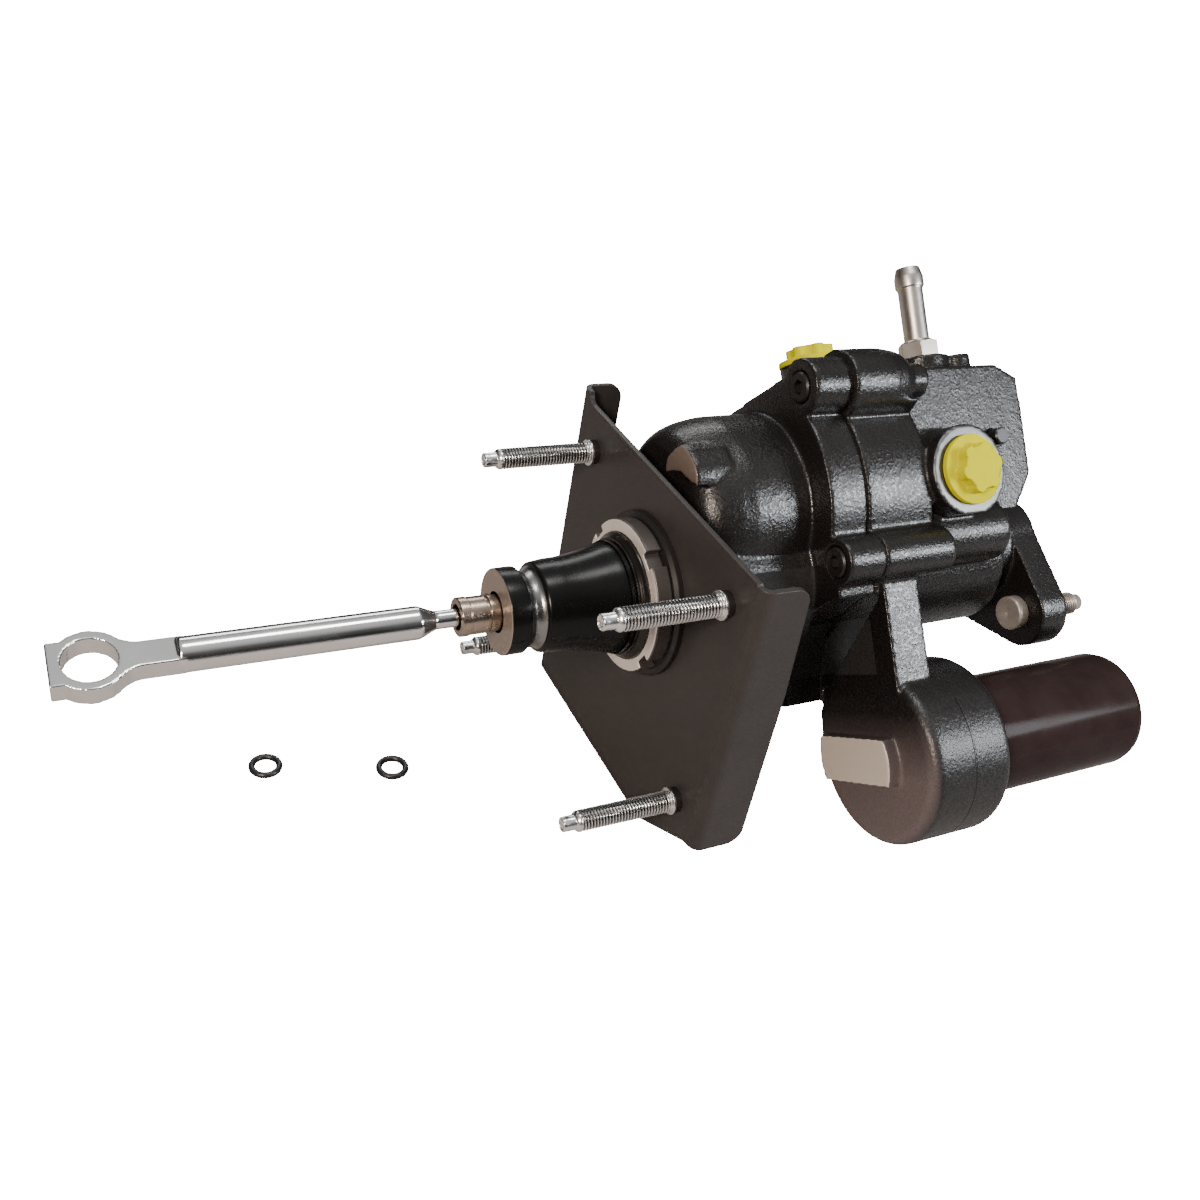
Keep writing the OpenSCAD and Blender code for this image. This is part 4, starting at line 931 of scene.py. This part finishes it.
def placed_copies(piece, places):
    """One copy of a piece at each place across the axis, as Y and Z in millimetres. The piece itself goes."""
    copies = []
    for y, z in places:
        only(piece)
        bpy.ops.object.duplicate()
        placed = bpy.context.object
        placed.location = (0.0, y * MM, z * MM)
        bpy.ops.object.transform_apply(location=True, rotation=False, scale=False)
        copies.append(placed)
    bpy.data.objects.remove(piece)
    return copies


# %% Firewall studs
thread_start = -50.0
stud_middle = (1.8, -17.6)
stud_apart = (65.0, 55.0)
stud_profile = [(-58.0, 0.0), (-58.0, 1.6), (-57.4, 1.8), (-57.4, 2.6)] + arc(-57.4, 2.9, 0.6, 180, 90, 4)
stud_profile += [(-56.0, 3.5), (-52.2, 3.5), (-51.9, 3.65), (-51.6, 4.1), (-50.7, 4.8), (-50.2, 4.95)]
stud_profile += thread_rings(thread_start, -5.2, 5.0, thread_pitch)
stud_profile += [(-4.9, 4.7), (-4.6, 4.7), (-4.5, 5.9)] + arc(-4.1, 6.0, 0.4, 180, 90, 3)
stud_profile += [(-3.3, 6.4), (-3.0, 6.1), (-2.9, 5.9), (0.0, 5.9), (0.0, 5.0), (3.0, 5.0)]
stud_profile += [(3.0, 8.3), (3.2, 8.5), (5.4, 8.5), (6.0, 7.9), (6.0, 0.0)]
first_stud = turned_piece("firewall_stud", stud_profile, 36)
cut_thread(first_stud, thread_start, -5.4, thread_pitch, thread_depth, 4.6)
stud_places = []
for side in (-1, 1):
    for rise in (-1, 1):
        stud_places.append((stud_middle[0] + stud_apart[0] * side, stud_middle[1] + stud_apart[1] * rise))
for number, stud in enumerate(placed_copies(first_stud, stud_places), 1):
    stud.name = "firewall_stud_" + str(number)
    smooth(stud, 50.0)
    hand_over(stud, "root", "stud_zinc", "firewall_studs")

# %% Master cylinder studs
mc_radius = 42.85
mc_angle = math.radians(57.4)
mc_thread_start = 223.0
mc_profile = [(197.6, 0.0), (197.3, 1.1), (196.7, 1.7), (196.7, 7.6)] + arc(197.6, 7.8, 0.9, 180, 90, 4)
mc_profile += [(202.6, 8.7), (203.0, 8.3), (203.0, 6.5), (220.0, 6.5), (220.0, 6.0), (222.5, 6.0)]
mc_profile += thread_rings(mc_thread_start, 240.0, 6.0, thread_pitch)
mc_profile += [(240.4, 5.6), (241.5, 4.3), (245.4, 4.3), (246.0, 3.8), (246.0, 0.0)]
mc_stud = turned_piece("mc_stud", mc_profile, 36)
cut_thread(mc_stud, mc_thread_start, 240.2, thread_pitch, thread_depth, 5.5)
mc_places = []
for side in (1, -1):
    near_way = side * mc_radius * math.cos(mc_angle)
    up_way = -side * mc_radius * math.sin(mc_angle)
    mc_places.append((-near_way * clock_cos + up_way * clock_sin, near_way * clock_sin + up_way * clock_cos))
for number, stud in enumerate(placed_copies(mc_stud, mc_places), 1):
    stud.name = "master_cylinder_stud_" + str(number)
    smooth(stud, 50.0)
    hand_over(stud, "root", "dull_stud", "master_cylinder_studs")

# %% [markdown]
# Pressed, milled and moulded pieces have small even edges, so a bevel of fixed width does for them. Weighted
# normals keep the flat faces flat in the shading next to the bevels.

# %% Bevelled pieces


def make_bevelled(node_name, piece_name, width, segments=2, degrees=35.0):
    """A copy of a CAD node with every sharp edge broken."""
    piece = copy_of_node(node_name, piece_name)
    apply_modifier(piece, "BEVEL", width=width, segments=segments, limit_method="ANGLE",
                   angle_limit=math.radians(degrees), use_clamp_overlap=False, miter_outer="MITER_ARC")
    edit_all(piece)
    bpy.ops.mesh.remove_doubles(threshold=point_gap)
    leave_edit()
    smooth(piece, 40.0)
    apply_modifier(piece, "WEIGHTED_NORMAL", keep_sharp=True, weight=60)
    return piece


for node_name, width, body, material in (
        ("mounting_bracket", 0.0005, "root", "bracket_paint"),
        ("spanner_nut", 0.0004, "root", "nut_steel"),
        ("near_port_plug", 0.0005, "root", "yellow_cap"),
        ("top_port_plug", 0.0005, "root", "yellow_cap"),
        ("return_fitting", 0.0003, "root", "fitting_zinc"),
        ("input_socket", 0.00015, "input", "socket_bronze")):
    piece = make_bevelled(node_name, node_name + "_fine", width)
    hand_over(piece, body, material, node_name)

# %% [markdown]
# The pushrod is forged in one piece: a round shank that flattens into a blade and an eye. The blade's
# outline is drawn in the same way, with an arc for the eye and a hollow arc where it runs into the
# blade, then filled with a face and extruded to its thickness. The shank is spun. A remesh with small
# voxels and a little smoothing melts the two together, which gives the forging's soft meeting without a
# hand-made fillet.

# %% Blade and eye
eye_x = -236.7
eye_r = 14.0
eye_hole_r = 10.0
eye_end_x = -251.5
eye_end_half = 10.4
eye_turn = math.radians(15.0)
blade_half = 6.1
blade_end_x = -203.0
eye_fillet = 12.0
eye_t = 9.5
reach_x = math.sqrt((eye_r + eye_fillet) ** 2 - (blade_half + eye_fillet) ** 2)
meet_angle = math.degrees(math.atan2(blade_half + eye_fillet, reach_x))
end_angle = 180.0 - math.degrees(math.asin(eye_end_half / eye_r))
upper_edge = [(eye_end_x, eye_end_half)]
upper_edge += arc(eye_x, 0.0, eye_r, end_angle, meet_angle, 18)
upper_edge += arc(eye_x + reach_x, blade_half + eye_fillet, eye_fillet, 180.0 + meet_angle, 270.0, 8)
upper_edge += [(blade_end_x, blade_half)]
outline = upper_edge + [(x, -y) for x, y in reversed(upper_edge)]
outline_points = [(x * MM, y * MM, -eye_t / 2 * MM) for x, y in outline]
blade = drawn_line("blade", outline_points + outline_points[:1])
bpy.ops.mesh.edge_face_add()
bpy.ops.mesh.extrude_region_move(TRANSFORM_OT_translate={"value": (0.0, 0.0, eye_t * MM)})
bpy.ops.mesh.select_all(action="SELECT")
bpy.ops.mesh.normals_make_consistent(inside=False)
leave_edit()
bpy.ops.mesh.primitive_cylinder_add(
    vertices=96, radius=eye_hole_r * MM, depth=0.03, location=(eye_x * MM, 0.0, 0.0))
eye_drill = bpy.context.object
apply_modifier(blade, "BOOLEAN", operation="DIFFERENCE", object=eye_drill, solver="EXACT")
bpy.data.objects.remove(eye_drill)
turn_about_x(blade, eye_turn)
print("blade points:", len(outline))

# %% Shank and ball
ball_x = -80.0
ball_r = 5.6
rod_voxel = 0.00045
rod_rounds = 4
rod_profile = [(-205.4, 0.0), (-205.4, 6.4), (-204.7, 7.2), (-204.0, 7.3), (-108.5, 7.3)]
rod_profile += [(-107.2, 6.8), (-101.4, 4.3), (-100.4, 4.1), (-84.2, 4.1)]
rod_profile += arc(ball_x, 0.0, ball_r, 133.0, 0.0, 14)
pushrod = turned_piece("pushrod_forged", rod_profile, 72)
only(pushrod)
blade.select_set(True)
bpy.ops.object.join()
apply_modifier(pushrod, "REMESH", mode="VOXEL", voxel_size=rod_voxel)
apply_modifier(pushrod, "SMOOTH", factor=0.5, iterations=rod_rounds)
only(pushrod)
bpy.ops.object.shade_smooth()
hand_over(pushrod, "pushrod", "pushrod_chrome", "pushrod")

# %% [markdown]
# The two loose seal rings are round cord bent to a ring. A small circle is spun about the axis and the
# ring is then laid flat on the table. Their cord is a little thicker than in the plain solids, because a
# thin black line on a bright ground loses part of its width in the picture.

# %% Seal rings
ring_cord = 1.6
ring_reach = 8.1
ring_places = ((-162.0, 46.0), (-104.0, 29.0))
for number, (x, y) in enumerate(ring_places, 1):
    cord_circle = arc(0.0, ring_reach - ring_cord, ring_cord, 0, 360, 20)[:-1]
    ring = turned_piece("port_seal_ring_" + str(number), cord_circle, 72)
    only(ring)
    ring.rotation_euler = (0.0, math.radians(90.0), 0.0)
    ring.location = (x * MM, y * MM, floor_z + ring_cord * MM)
    bpy.ops.object.transform_apply(location=True, rotation=True, scale=False)
    bpy.ops.object.shade_smooth()
    hand_over(ring, "root", "seal_rubber", "port_seal_rings")

# %% Smooth CAD pieces
for node_object in nodes.values():
    if not node_object.hide_render:
        smooth(node_object)
